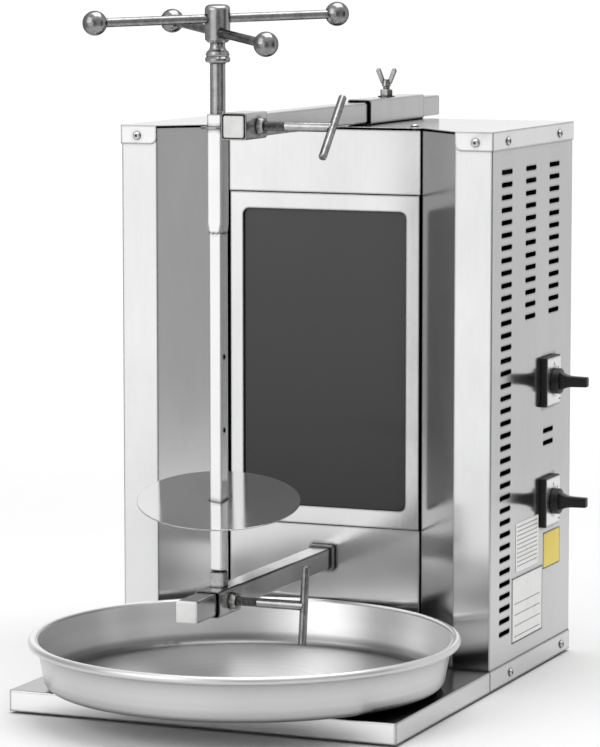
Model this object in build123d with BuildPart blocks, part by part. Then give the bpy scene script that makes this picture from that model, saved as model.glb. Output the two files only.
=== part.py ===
from build123d import *
from math import cos, radians, sin
import os

# Vertical rotisserie broiler for a countertop. Millimetres, +Z up, front towards -Y.
# The origin is midway between the four feet, on the surface that they stand on.

os.makedirs("parts", exist_ok=True)

# ---- driving dimensions ------------------------------------------------------------------
WIDTH = 470.0                 # outside of the base and of the top cover
BASE_FRONT = -295.0           # front edge of the pan tray
BACK = 301.0                  # rear edge of the base and of the cover
WING_FRONT = 9.0              # face of the two wings of the cabinet
BOX_FRONT = 72.7              # face of the heater box between the wings
CABINET_TOP = 653.0
FOOT_HEIGHT = 3.0
BASE_HEIGHT = 24.0
SHEET = 1.0                   # thickness of the folded sheets
BEND = 1.4                    # outside radius of the folds
SEAM = 1.4                    # open joint between the tray and the cabinet's base

HALF = WIDTH / 2
BASE_TOP = FOOT_HEIGHT + BASE_HEIGHT
WALL_X = HALF - SHEET         # outer face of the side panels, inside the lips
COVER_LIP = 22.0
WING_INNER_X = 188.4          # inner edge of a wing's face
BOX_HALF = 123.65             # where the diagonal mirrors meet the heater box
PANEL_TOP = CABINET_TOP - SHEET - 0.2

# heater box front, bottom to top: lower panel, glass frame, top panel
LOWER_PANEL_TOP = 175.8
FRAME_BOTTOM = 176.8
FRAME_TOP = 573.0
TOP_PANEL_BOTTOM = 574.2
TOP_PANEL_TOP = 649.6
FRONT_PANEL_HALF = 122.6
FRAME_HALF = 121.2
GLASS_OPENING = (209.0, 356.0)
GLASS_CENTRE_Z = 375.8
GLASS_CORNER = 8.0
GLASS_THICKNESS = 4.0
FRAME_THICKNESS = 1.5

# square tubes, clamps and the spindle's axis
TUBE = 25.0
TUBE_WALL = 1.5
SOCKET = 30.0
SOCKET_WALL = 1.5
AXIS_Y = -237.0               # the spindle stands at X = 0
LOWER_ARM_Z = 137.7
LOWER_ARM_FRONT = -324.0
LOWER_ARM_BACK = 160.0
UPPER_ARM_X = 28.0
UPPER_ARM_Z = 667.3
UPPER_ARM_FRONT = -256.0
UPPER_ARM_BACK = 356.0
UPPER_SOCKET_X = 28.5
UPPER_SOCKET_Y = (114.0, 292.0)
COLLAR_LENGTH = 58.0
UPPER_COLLAR_Y = -230.0       # middle of the upper collar
LOWER_COLLAR_Y = -241.0
CAP_THICKNESS = 3.0

# clamp screws: M10 rods with a T-bar
ROD_D = 10.0
ROD_REACH = 88.0              # from the collar's side to the T-bar's axis
THREAD_PITCH = 1.5
THREAD_LENGTH = 24.0
NUT_AF = 17.0
NUT_HEIGHT = 8.0
BAR_D = 9.0
BAR_LENGTH = 88.0
UPPER_BAR_TILT = 43.0         # degrees from vertical, top towards the back
LOWER_BAR_TILT = 7.0

# spindle
SPINDLE_BAR = 15.0
SPINDLE_TURN = -6.0           # rest angle about its axis, degrees
SPINDLE_BOTTOM = 170.0
SPINDLE_TOP = 668.0
SLEEVE = 18.0
SLEEVE_WALL = 1.2
SLEEVE_BOTTOM = 548.0
SLEEVE_TOP = 680.0
SHAFT_D = 17.0
RING_D = 27.7
NECK_D = 16.6
HUB_D = 28.0
HUB_HEIGHT = 41.0
HUB_BOTTOM = 759.0
HANDLE_LEAN = 4.3             # the hub stands a little out of square, leaning to the front
LEAN_AZIMUTH = 22.6           # direction of that lean, from -Y towards +X
HANDLE_ROD_D = 10.0
HANDLE_RADIUS = 142.5         # axis to the centre of a ball
BALL_D = 27.0
UPPER_ROD_RISE = 26.0         # above the bottom of the hub
LOWER_ROD_RISE = 11.0
HOLE_HEIGHTS = (244.5, 329.0, 411.0)
CROSS_HOLE_D = 5.2
PLATE_D = 183.0
PLATE_THICKNESS = 1.5
PLATE_Z = 249.6
PLATE_LEAN = 12.4             # the loose plate tips forward over its pin
PLATE_AZIMUTH = 22.6

# drip pan
PAN_CENTRE = (5.0, -177.0)
PAN_FLOOR_R = 226.7
PAN_BEAD_R = 241.0
PAN_BEAD = 4.8
PAN_BEAD_RISE = 50.0
PAN_WALL = 1.5
PAN_CORNER_R = 9.0
RAIL_HEIGHT = 5.2

# side panel vents and switches
SLOT = (37.5, 5.6)
SLOT_CORNER = 2.35
SLOT_PITCH = 14.62
SLOT_TOP_Z = 604.9
SLOT_COLUMNS = ((60.0, 38), (145.5, 13), (231.3, 13))
EXTRA_SLOTS = ((214.4, 285.7), (214.4, 271.0))
SWITCH_Y = 214.0
SWITCH_Z = {"upper": 345.3, "lower": 199.4}
SWITCH_FACE = (53.0, 60.0)
SWITCH_DEPTH = 6.8
LEVER_TIP_X = 284.0

# M5 button-head screws
SCREW_HEAD_D = 9.5
SCREW_HEAD = 2.75
SCREW_D = 4.8
SCREW_LENGTH = 9.0
SCREW_SOCKET = 2.0            # corner radius of the hexagon socket
HOLE_D = 5.2
WING_SCREW_X = 213.5
COVER_SCREW_Z = 640.5
COVER_SIDE_Y = (60.0, 247.0)
BASE_SCREW_Z = 13.5
BASE_SIDE_Y = (80.0, 268.0)
TOP_SCREW = (104.0, 101.0)


# ---- helpers: each adds to the builder that is open --------------------------------------
def front_plane(y):
    """Sketch plane facing the front at this Y: local x is X, local y is Z."""
    return Plane(origin=(0, y, 0), x_dir=(1, 0, 0), z_dir=(0, -1, 0))


def side_plane(x):
    """Sketch plane facing +X at this X: local x is Y, local y is Z."""
    return Plane(origin=(x, 0, 0), x_dir=(0, 1, 0), z_dir=(1, 0, 0))


def folded_sheet(plane, points, length, thickness=SHEET, side=Side.LEFT):
    """A strip of sheet bent along the points and pushed along the plane's normal."""
    with BuildSketch(plane) as profile:
        with BuildLine():
            FilletPolyline(*points, radius=BEND)
            offset(amount=thickness, side=side)
        make_face()
    extrude(profile.sketch, amount=length)


def drill(x, y, z, direction, diameter=HOLE_D, depth=4.0):
    """A round hole centred on the point, running both ways along the direction."""
    with BuildSketch(Plane(origin=(x, y, z), z_dir=direction)) as profile:
        Circle(diameter / 2)
    extrude(profile.sketch, amount=depth, both=True, mode=Mode.SUBTRACT)


def square_tube(plane, outer, wall, length, corner=2.5):
    """A square tube from the plane along its normal."""
    with BuildSketch(plane) as profile:
        RectangleRounded(outer, outer, corner)
        RectangleRounded(outer - 2 * wall, outer - 2 * wall, max(corner - wall, 0.8), mode=Mode.SUBTRACT)
    extrude(profile.sketch, amount=length)


def vent_columns(plane, columns):
    """Cuts columns of horizontal slots, each given by its middle and its number of rows."""
    for middle, rows in columns:
        with BuildSketch(plane) as profile:
            for row in range(rows):
                with Locations((middle, SLOT_TOP_Z - row * SLOT_PITCH)):
                    RectangleRounded(SLOT[0], SLOT[1], SLOT_CORNER)
        extrude(profile.sketch, amount=2 * BEND, both=True, mode=Mode.SUBTRACT)


def leaning(x, y, z, lean, azimuth):
    """A plane tipped towards the front by lean, in the direction of the azimuth."""
    a = radians(azimuth)
    t = radians(lean)
    normal = (sin(a) * sin(t), -cos(a) * sin(t), cos(t))
    return Plane(origin=(x, y, z), x_dir=(cos(a), sin(a), 0), z_dir=normal)


# ---- base --------------------------------------------------------------------------------
TRAY_BACK = WING_FRONT - SEAM
FRONT_DEPTH = TRAY_BACK - BASE_FRONT
TRAY_MIDDLE_Y = (BASE_FRONT + TRAY_BACK) / 2
CABINET_DEPTH = BACK - WING_FRONT
CABINET_MIDDLE_Y = (BACK + WING_FRONT) / 2

with BuildPart() as base_tray:
    with BuildSketch(Plane.XY.offset(FOOT_HEIGHT)):
        with Locations((0, TRAY_MIDDLE_Y)):
            Rectangle(WIDTH, FRONT_DEPTH)
    extrude(amount=BASE_HEIGHT)
    fillet(base_tray.edges().filter_by(Axis.Z).group_by(Axis.Y)[0], 2.5)
    fillet(base_tray.faces().sort_by(Axis.Z)[-1].edges().sort_by(Axis.Y)[:-1], 1.6)
    with BuildSketch(Plane.XY.offset(FOOT_HEIGHT)):
        with Locations((0, TRAY_MIDDLE_Y)):
            Rectangle(WIDTH - 2 * SHEET, FRONT_DEPTH - 2 * SHEET)
    extrude(amount=BASE_HEIGHT - SHEET, mode=Mode.SUBTRACT)
base_tray.part.label = "base_tray"
export_step(base_tray.part, "parts/base_tray.step")

with BuildPart() as cabinet_base:
    with BuildSketch(Plane.XY.offset(FOOT_HEIGHT)):
        with Locations((0, CABINET_MIDDLE_Y)):
            Rectangle(WIDTH, CABINET_DEPTH)
    extrude(amount=BASE_HEIGHT)
    fillet(cabinet_base.edges().filter_by(Axis.Z).group_by(Axis.Y)[-1], 2.5)
    fillet(cabinet_base.faces().sort_by(Axis.Z)[-1].edges().sort_by(Axis.Y)[1:], 1.2)
    with BuildSketch(Plane.XY.offset(FOOT_HEIGHT)):
        with Locations((0, CABINET_MIDDLE_Y)):
            Rectangle(WIDTH - 2 * SHEET, CABINET_DEPTH - 2 * SHEET)
    extrude(amount=BASE_HEIGHT - SHEET, mode=Mode.SUBTRACT)
    for side in (-1, 1):
        for y in BASE_SIDE_Y:
            drill(side * HALF, y, BASE_SCREW_Z, (1, 0, 0))
cabinet_base.part.label = "cabinet_base"
export_step(cabinet_base.part, "parts/cabinet_base.step")

# four open channels under the skin stiffen the base and carry the feet
CHANNEL_Y = (-252.0, -40.0, 52.0, 252.0)
CHANNEL_WIDTH = 40.0
CHANNEL_SHEET = 1.5
with BuildPart() as base_channels:
    for y in CHANNEL_Y:
        low = FOOT_HEIGHT + CHANNEL_SHEET + 0.1
        high = BASE_TOP - SHEET
        outline = (
            (y - CHANNEL_WIDTH / 2 - 8, high),
            (y - CHANNEL_WIDTH / 2, high),
            (y - CHANNEL_WIDTH / 2, low),
            (y + CHANNEL_WIDTH / 2, low),
            (y + CHANNEL_WIDTH / 2, high),
            (y + CHANNEL_WIDTH / 2 + 8, high),
        )
        start = side_plane(-HALF + SHEET + 1)
        folded_sheet(start, outline, WIDTH - 2 * SHEET - 2, thickness=CHANNEL_SHEET, side=Side.RIGHT)
base_channels.part.label = "base_channels"
export_step(base_channels.part, "parts/base_channels.step")

FOOT_X = 192.0
FOOT_D = 32.0
with BuildPart() as rubber_feet:
    with BuildSketch():
        for y in (CHANNEL_Y[0], CHANNEL_Y[-1]):
            with Locations((-FOOT_X, y), (FOOT_X, y)):
                Circle(FOOT_D / 2)
    extrude(amount=FOOT_HEIGHT)
    chamfer(rubber_feet.faces().sort_by(Axis.Z)[0:4].edges(), 0.8)
rubber_feet.part.label = "rubber_feet"
export_step(rubber_feet.part, "parts/rubber_feet.step")

with BuildPart() as pan_rails:
    with BuildSketch(Plane.XY.offset(BASE_TOP)):
        with Locations((-120, TRAY_MIDDLE_Y - 10), (120, TRAY_MIDDLE_Y - 10)):
            RectangleRounded(12, 250, 4)
    extrude(amount=RAIL_HEIGHT)
    fillet(pan_rails.faces().filter_by(Axis.Z).group_by(Axis.Z)[-1].edges(), 1.5)
pan_rails.part.label = "pan_rails"
export_step(pan_rails.part, "parts/pan_rails.step")

# ---- cabinet walls -----------------------------------------------------------------------
PANEL_BOTTOM = BASE_TOP + 0.1
PANEL_HEIGHT = PANEL_TOP - PANEL_BOTTOM
REAR_FLANGE = 14.0
BACK_PANEL_Y = BACK - 2 * SHEET
BACK_INNER = BACK_PANEL_Y + 0.1
BACK_FACE = BACK_INNER + 0.8
BACK_SCREWS = [(x, z) for x in (-224.0, 224.0) for z in (60.0, 200.0, 340.0, 480.0, 600.0)]

with BuildPart() as right_side_panel:
    outline = (
        (WING_INNER_X, WING_FRONT),
        (WALL_X, WING_FRONT),
        (WALL_X, BACK_PANEL_Y),
        (WALL_X - REAR_FLANGE, BACK_PANEL_Y),
    )
    folded_sheet(Plane.XY.offset(PANEL_BOTTOM), outline, PANEL_HEIGHT)
    vent_columns(side_plane(WALL_X), SLOT_COLUMNS)
    with BuildSketch(side_plane(WALL_X)):
        with Locations(*EXTRA_SLOTS):
            RectangleRounded(SLOT[0], SLOT[1], SLOT_CORNER)
        with Locations(*[(SWITCH_Y, z) for z in SWITCH_Z.values()]):
            Circle(7)
    extrude(amount=4, both=True, mode=Mode.SUBTRACT)
    for y in COVER_SIDE_Y:
        drill(WALL_X, y, COVER_SCREW_Z, (1, 0, 0))
    drill(WING_SCREW_X, WING_FRONT, COVER_SCREW_Z, (0, 1, 0))
    for x, z in BACK_SCREWS[5:]:
        drill(x, BACK_PANEL_Y, z, (0, 1, 0))
right_side_panel.part.label = "right_side_panel"
export_step(right_side_panel.part, "parts/right_side_panel.step")

with BuildPart() as left_side_panel:
    outline = (
        (-WING_INNER_X, WING_FRONT),
        (-WALL_X, WING_FRONT),
        (-WALL_X, BACK_PANEL_Y),
        (-WALL_X + REAR_FLANGE, BACK_PANEL_Y),
    )
    folded_sheet(Plane.XY.offset(PANEL_BOTTOM), outline, PANEL_HEIGHT, side=Side.RIGHT)
    vent_columns(side_plane(-WALL_X), [(middle, 13) for middle, rows in SLOT_COLUMNS])
    for y in COVER_SIDE_Y:
        drill(-WALL_X, y, COVER_SCREW_Z, (1, 0, 0))
    drill(-WING_SCREW_X, WING_FRONT, COVER_SCREW_Z, (0, 1, 0))
    for x, z in BACK_SCREWS[:5]:
        drill(x, BACK_PANEL_Y, z, (0, 1, 0))
left_side_panel.part.label = "left_side_panel"
export_step(left_side_panel.part, "parts/left_side_panel.step")

# the diagonal mirrors, tucked behind the wing's edge and turned back beside the box
MIRROR_TUCK_Y = WING_FRONT + SHEET + 0.2
MIRROR_INNER_X = BOX_HALF + 0.9
with BuildPart() as right_reflector:
    outline = (
        (WING_INNER_X + 14, MIRROR_TUCK_Y),
        (WING_INNER_X + 0.5, MIRROR_TUCK_Y),
        (MIRROR_INNER_X, BOX_FRONT),
        (MIRROR_INNER_X, BOX_FRONT + 20),
    )
    folded_sheet(Plane.XY.offset(PANEL_BOTTOM), outline, TOP_PANEL_TOP - PANEL_BOTTOM, side=Side.RIGHT)
right_reflector.part.label = "right_reflector"
export_step(right_reflector.part, "parts/right_reflector.step")

with BuildPart() as left_reflector:
    outline = (
        (-WING_INNER_X - 14, MIRROR_TUCK_Y),
        (-WING_INNER_X - 0.5, MIRROR_TUCK_Y),
        (-MIRROR_INNER_X, BOX_FRONT),
        (-MIRROR_INNER_X, BOX_FRONT + 20),
    )
    folded_sheet(Plane.XY.offset(PANEL_BOTTOM), outline, TOP_PANEL_TOP - PANEL_BOTTOM, side=Side.LEFT)
left_reflector.part.label = "left_reflector"
export_step(left_reflector.part, "parts/left_reflector.step")

GLAND_PLACE = (-150.0, 75.0)
GLAND_HOLE_D = 16.4
BACK_SLOTS_Z = [150.0 + row * 22.0 for row in range(16)]
with BuildPart() as back_panel:
    with BuildSketch(front_plane(BACK_INNER)):
        with Locations((0, (PANEL_BOTTOM + PANEL_TOP) / 2)):
            Rectangle(2 * WALL_X - 1, PANEL_HEIGHT)
        with Locations(*[(x, z) for x in (-110.0, 0.0, 110.0) for z in BACK_SLOTS_Z]):
            SlotOverall(60, 6, mode=Mode.SUBTRACT)
        with Locations(*BACK_SCREWS):
            Circle(HOLE_D / 2, mode=Mode.SUBTRACT)
        with Locations((-WING_SCREW_X, COVER_SCREW_Z), (WING_SCREW_X, COVER_SCREW_Z)):
            Circle(HOLE_D / 2, mode=Mode.SUBTRACT)
        with Locations(GLAND_PLACE):
            Circle(GLAND_HOLE_D / 2, mode=Mode.SUBTRACT)
    extrude(amount=BACK_INNER - BACK_FACE)
back_panel.part.label = "back_panel"
export_step(back_panel.part, "parts/back_panel.step")

# ---- front of the heater box -------------------------------------------------------------
def front_panel(half, bottom, top, thickness=SHEET):
    """A front sheet with both sides turned back."""
    outline = (
        (-half, BOX_FRONT + 18),
        (-half, BOX_FRONT),
        (half, BOX_FRONT),
        (half, BOX_FRONT + 18),
    )
    folded_sheet(Plane.XY.offset(bottom), outline, top - bottom, thickness=thickness)


with BuildPart() as front_top_panel:
    front_panel(FRONT_PANEL_HALF, TOP_PANEL_BOTTOM, TOP_PANEL_TOP)
front_top_panel.part.label = "front_top_panel"
export_step(front_top_panel.part, "parts/front_top_panel.step")

with BuildPart() as glass_frame:
    front_panel(FRAME_HALF, FRAME_BOTTOM, FRAME_TOP, FRAME_THICKNESS)
    with BuildSketch(front_plane(BOX_FRONT)):
        with Locations((0, GLASS_CENTRE_Z)):
            RectangleRounded(GLASS_OPENING[0], GLASS_OPENING[1], GLASS_CORNER)
    extrude(amount=5, both=True, mode=Mode.SUBTRACT)
glass_frame.part.label = "glass_frame"
export_step(glass_frame.part, "parts/glass_frame.step")

LOWER_SOCKET_FRONT = 62.7
LOWER_SOCKET_BACK = 175.0
with BuildPart() as front_lower_panel:
    front_panel(FRONT_PANEL_HALF, PANEL_BOTTOM, LOWER_PANEL_TOP)
    with BuildSketch(front_plane(BOX_FRONT)):
        with Locations((0, LOWER_ARM_Z)):
            RectangleRounded(SOCKET + 0.4, SOCKET + 0.4, 2.7)
    extrude(amount=5, both=True, mode=Mode.SUBTRACT)
front_lower_panel.part.label = "front_lower_panel"
export_step(front_lower_panel.part, "parts/front_lower_panel.step")

SEAL_Y = BOX_FRONT + FRAME_THICKNESS
SEAL_THICKNESS = 2.0
GLASS_Y = SEAL_Y + SEAL_THICKNESS
GLASS_SIZE = (GLASS_OPENING[0] + 16, GLASS_OPENING[1] + 16)
with BuildPart() as glass_seal:
    with BuildSketch(front_plane(GLASS_Y)):
        with Locations((0, GLASS_CENTRE_Z)):
            RectangleRounded(GLASS_SIZE[0] - 1, GLASS_SIZE[1] - 1, 9)
            RectangleRounded(GLASS_OPENING[0] + 0.6, GLASS_OPENING[1] + 0.6, 8.3, mode=Mode.SUBTRACT)
    extrude(amount=SEAL_THICKNESS)
glass_seal.part.label = "glass_seal"
export_step(glass_seal.part, "parts/glass_seal.step")

with BuildPart() as glass_pane:
    with BuildSketch(front_plane(GLASS_Y + GLASS_THICKNESS)):
        with Locations((0, GLASS_CENTRE_Z)):
            RectangleRounded(*GLASS_SIZE, 4)
    extrude(amount=GLASS_THICKNESS)
    chamfer(glass_pane.faces().filter_by(Axis.Y).edges(), 0.4)
glass_pane.part.label = "glass_pane"
export_step(glass_pane.part, "parts/glass_pane.step")

# ---- heater behind the glass -------------------------------------------------------------
HEAT_BOX_Y = (GLASS_Y + GLASS_THICKNESS + 0.3, 148.0)
HEAT_BOX_SIZE = (224.0, 376.0)
HEAT_SHEET = 0.8
ELEMENT_D = 6.5
ELEMENT_Y = 106.0
ELEMENT_HALF = 92.0
ELEMENT_PITCH = 26.0
ELEMENT_RUNS = 6
LEG_BACK = 188.0
ZONE_BOTTOM = {"lower": 205.0, "upper": 416.0}


def element_ends(zone):
    """Heights of the element's first and last run."""
    bottom = ZONE_BOTTOM[zone]
    return bottom, bottom + (ELEMENT_RUNS - 1) * ELEMENT_PITCH


with BuildPart() as heat_box:
    with BuildSketch(front_plane(HEAT_BOX_Y[1])):
        with Locations((0, GLASS_CENTRE_Z)):
            RectangleRounded(*HEAT_BOX_SIZE, 5)
    extrude(amount=HEAT_BOX_Y[1] - HEAT_BOX_Y[0])
    with BuildSketch(front_plane(HEAT_BOX_Y[1] - HEAT_SHEET)):
        with Locations((0, GLASS_CENTRE_Z)):
            RectangleRounded(HEAT_BOX_SIZE[0] - 2 * HEAT_SHEET, HEAT_BOX_SIZE[1] - 2 * HEAT_SHEET, 4.2)
    extrude(amount=HEAT_BOX_Y[1] - HEAT_BOX_Y[0], mode=Mode.SUBTRACT)
    for zone in ZONE_BOTTOM:
        for z in element_ends(zone):
            drill(-ELEMENT_HALF, HEAT_BOX_Y[1], z, (0, 1, 0), diameter=ELEMENT_D + 3)
heat_box.part.label = "heat_box"
export_step(heat_box.part, "parts/heat_box.step")


def heating_element(zone):
    """A tubular element: a serpentine with both legs turned back through the box."""
    bottom, top = element_ends(zone)
    points = [(-ELEMENT_HALF, LEG_BACK, bottom)]
    for run in range(ELEMENT_RUNS):
        z = bottom + run * ELEMENT_PITCH
        near, far = (-ELEMENT_HALF, ELEMENT_HALF) if run % 2 == 0 else (ELEMENT_HALF, -ELEMENT_HALF)
        points += [(near, ELEMENT_Y, z), (far, ELEMENT_Y, z)]
    points.append((-ELEMENT_HALF, LEG_BACK, top))
    with BuildLine() as path:
        FilletPolyline(*points, radius=ELEMENT_PITCH * 0.45)
    with BuildSketch(Plane(origin=path.line @ 0, z_dir=path.line % 0)) as profile:
        Circle(ELEMENT_D / 2)
    sweep(profile.sketch, path=path.line)


with BuildPart() as heating_element_upper:
    heating_element("upper")
heating_element_upper.part.label = "heating_element_upper"
export_step(heating_element_upper.part, "parts/heating_element_upper.step")

with BuildPart() as heating_element_lower:
    heating_element("lower")
heating_element_lower.part.label = "heating_element_lower"
export_step(heating_element_lower.part, "parts/heating_element_lower.step")

BOARD_THICKNESS = 25.0
with BuildPart() as insulation_board:
    with BuildSketch(front_plane(HEAT_BOX_Y[1] + 0.2 + BOARD_THICKNESS)):
        with Locations((0, GLASS_CENTRE_Z)):
            Rectangle(HEAT_BOX_SIZE[0] - 4, HEAT_BOX_SIZE[1] - 4)
        with Locations(*[(-ELEMENT_HALF, z) for zone in ZONE_BOTTOM for z in element_ends(zone)]):
            Circle(ELEMENT_D / 2 + 1.5, mode=Mode.SUBTRACT)
    extrude(amount=BOARD_THICKNESS)
insulation_board.part.label = "insulation_board"
export_step(insulation_board.part, "parts/insulation_board.step")

# ---- wiring end ---------------------------------------------------------------------------
TERMINAL_PLACE = (-150.0, 235.0)
with BuildPart() as terminal_block:
    with BuildSketch(Plane.XY.offset(BASE_TOP)):
        with Locations(TERMINAL_PLACE):
            RectangleRounded(64, 26, 2)
    extrude(amount=22)
    with BuildSketch(Plane.XY.offset(BASE_TOP + 22)):
        with Locations(TERMINAL_PLACE):
            with GridLocations(12, 14, 5, 2):
                Circle(3.2)
    extrude(amount=-9, mode=Mode.SUBTRACT)
terminal_block.part.label = "terminal_block"
export_step(terminal_block.part, "parts/terminal_block.step")

with BuildPart() as cable_gland:
    seat = Plane(origin=(GLAND_PLACE[0], BACK_FACE, GLAND_PLACE[1]), z_dir=(0, 1, 0))
    with BuildSketch(seat):
        RegularPolygon(12.5, 6)
    extrude(amount=7)
    with BuildSketch(seat.offset(7)):
        Circle(11)
    extrude(amount=11)
    fillet(cable_gland.edges().filter_by(GeomType.CIRCLE).sort_by(Axis.Y)[-1], 3.5)
    with BuildSketch(seat):
        Circle(8)
    extrude(amount=-14)
    with BuildSketch(seat.offset(BACK_INNER - BACK_FACE)):
        RegularPolygon(12.5, 6)
    extrude(amount=-6)
    with BuildSketch(seat.offset(20)):
        Circle(4.2)
    extrude(amount=-40, mode=Mode.SUBTRACT)
cable_gland.part.label = "cable_gland"
export_step(cable_gland.part, "parts/cable_gland.step")

# ---- top cover ----------------------------------------------------------------------------
TAB_CORNER = 8.0
COVER_EDGE = 1.0              # the skin stands this far out over the mirrors and the box
TAB_FACE = WING_FRONT - SHEET
with BuildPart() as top_cover:
    with BuildSketch(Plane.XY.offset(CABINET_TOP - SHEET)):
        with BuildLine():
            Polyline(
                (-HALF, TAB_FACE),
                (-WING_INNER_X, TAB_FACE),
                (-BOX_HALF, BOX_FRONT - COVER_EDGE),
                (BOX_HALF, BOX_FRONT - COVER_EDGE),
                (WING_INNER_X, TAB_FACE),
                (HALF, TAB_FACE),
                (HALF, BACK),
                (-HALF, BACK),
                close=True,
            )
        make_face()
    extrude(amount=SHEET)
    for side in (-1, 1):
        with BuildSketch(side_plane(side * (HALF - SHEET / 2))):
            with Locations(((TAB_FACE + BACK) / 2, CABINET_TOP - COVER_LIP / 2)):
                Rectangle(BACK - TAB_FACE, COVER_LIP)
        extrude(amount=SHEET / 2, both=True)
        with BuildSketch(front_plane(WING_FRONT)):
            with Locations((side * (HALF + WING_INNER_X) / 2, CABINET_TOP - COVER_LIP / 2)):
                Rectangle(HALF - WING_INNER_X, COVER_LIP)
        extrude(amount=SHEET)
    with BuildSketch(front_plane(BACK)):
        with Locations((0, CABINET_TOP - COVER_LIP / 2)):
            Rectangle(WIDTH, COVER_LIP)
    extrude(amount=SHEET)
    tab_bottom = CABINET_TOP - COVER_LIP
    inner_corners = top_cover.edges().filter_by(Axis.Y).filter_by(
        lambda e: abs(abs(e.center().X) - WING_INNER_X) < 0.1 and abs(e.center().Z - tab_bottom) < 0.1
    )
    fillet(inner_corners, TAB_CORNER)
    outer_folds = top_cover.edges().filter_by(Axis.Z).filter_by(
        lambda e: abs(abs(e.center().X) - HALF) < 0.1
    )
    fillet(outer_folds, 0.9)
    for side in (-1, 1):
        for y in COVER_SIDE_Y:
            drill(side * HALF, y, COVER_SCREW_Z, (1, 0, 0), depth=1.2)
        drill(side * WING_SCREW_X, TAB_FACE, COVER_SCREW_Z, (0, 1, 0), depth=1.2)
        drill(side * TOP_SCREW[0], TOP_SCREW[1], CABINET_TOP, (0, 0, 1))
        drill(side * WING_SCREW_X, BACK, COVER_SCREW_Z, (0, 1, 0), depth=1.2)
top_cover.part.label = "top_cover"
export_step(top_cover.part, "parts/top_cover.step")

# ---- sockets and the lower arm ------------------------------------------------------------
with BuildPart() as lower_socket:
    start = Plane(origin=(0, LOWER_SOCKET_BACK, LOWER_ARM_Z), x_dir=(1, 0, 0), z_dir=(0, -1, 0))
    square_tube(start, SOCKET, (SOCKET - TUBE) / 2 - 0.02, LOWER_SOCKET_BACK - LOWER_SOCKET_FRONT, 3)
lower_socket.part.label = "lower_socket"
export_step(lower_socket.part, "parts/lower_socket.step")

with BuildPart() as lower_arm:
    start = Plane(origin=(0, LOWER_ARM_BACK, LOWER_ARM_Z), x_dir=(1, 0, 0), z_dir=(0, -1, 0))
    square_tube(start, TUBE, TUBE_WALL, LOWER_ARM_BACK - LOWER_ARM_FRONT)
lower_arm.part.label = "lower_arm"
export_step(lower_arm.part, "parts/lower_arm.step")


def tube_cap(x, y, z, front):
    """A moulded cap in the end of a square tube: a domed head and a hollow plug."""
    outward = -1 if front else 1
    seat = Plane(origin=(x, y, z), x_dir=(1, 0, 0), z_dir=(0, outward, 0))
    with BuildSketch(seat) as profile:
        RectangleRounded(TUBE, TUBE, 2.5)
    extrude(profile.sketch, amount=CAP_THICKNESS)
    with BuildSketch(seat) as profile:
        RectangleRounded(TUBE - 2 * TUBE_WALL - 0.1, TUBE - 2 * TUBE_WALL - 0.1, 1)
    extrude(profile.sketch, amount=-10)


with BuildPart() as lower_arm_cap:
    tube_cap(0, LOWER_ARM_FRONT, LOWER_ARM_Z, True)
    fillet(lower_arm_cap.faces().sort_by(Axis.Y)[0].edges(), 2.4)
lower_arm_cap.part.label = "lower_arm_cap"
export_step(lower_arm_cap.part, "parts/lower_arm_cap.step")

BRACKET_Y = (112.0, 150.0)
with BuildPart() as arm_bracket:
    outline = (
        (BRACKET_Y[0], PANEL_BOTTOM),
        (BRACKET_Y[1], PANEL_BOTTOM),
        (BRACKET_Y[1], LOWER_ARM_Z - SOCKET / 2 - 0.05),
        (BRACKET_Y[0], LOWER_ARM_Z - SOCKET / 2 - 0.05),
    )
    folded_sheet(side_plane(-30), outline, 60, thickness=2)
arm_bracket.part.label = "arm_bracket"
export_step(arm_bracket.part, "parts/arm_bracket.step")

WING_SCREW_Y = sum(UPPER_SOCKET_Y) / 2
WING_HOLE_D = 8.2
with BuildPart() as upper_socket:
    middle = (UPPER_SOCKET_X, UPPER_SOCKET_Y[1], CABINET_TOP + SOCKET / 2)
    start = Plane(origin=middle, x_dir=(1, 0, 0), z_dir=(0, -1, 0))
    square_tube(start, SOCKET, SOCKET_WALL, UPPER_SOCKET_Y[1] - UPPER_SOCKET_Y[0], 3)
    drill(UPPER_SOCKET_X, WING_SCREW_Y, CABINET_TOP + SOCKET, (0, 0, 1), diameter=WING_HOLE_D)
upper_socket.part.label = "upper_socket"
export_step(upper_socket.part, "parts/upper_socket.step")

SOCKET_TOP = CABINET_TOP + SOCKET
WING_NUT_HEIGHT = 9.0
with BuildPart() as wing_screw_nut:
    with BuildSketch(Plane.XY.offset(SOCKET_TOP)):
        with Locations((UPPER_SOCKET_X, WING_SCREW_Y)):
            Circle(10)
    extrude(amount=1.2)
    with BuildSketch(Plane.XY.offset(SOCKET_TOP + 1.2)):
        with Locations((UPPER_SOCKET_X, WING_SCREW_Y)):
            RegularPolygon(7.8, 6)
    extrude(amount=WING_NUT_HEIGHT - 1.2)
    chamfer(wing_screw_nut.faces().sort_by(Axis.Z)[-1].edges(), 0.8)
    with BuildSketch(Plane.XY.offset(SOCKET_TOP)):
        with Locations((UPPER_SOCKET_X, WING_SCREW_Y)):
            Circle(WING_HOLE_D / 2)
    extrude(amount=WING_NUT_HEIGHT + 2, mode=Mode.SUBTRACT)
wing_screw_nut.part.label = "wing_screw_nut"
export_step(wing_screw_nut.part, "parts/wing_screw_nut.step")

# ---- upper arm with its collar and guide ring ---------------------------------------------
with BuildPart() as upper_arm:
    middle = (UPPER_ARM_X, UPPER_ARM_BACK - CAP_THICKNESS, UPPER_ARM_Z)
    start = Plane(origin=middle, x_dir=(1, 0, 0), z_dir=(0, -1, 0))
    square_tube(start, TUBE, TUBE_WALL, UPPER_ARM_BACK - CAP_THICKNESS - UPPER_ARM_FRONT)
upper_arm.part.label = "upper_arm"
export_step(upper_arm.part, "parts/upper_arm.step")

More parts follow.
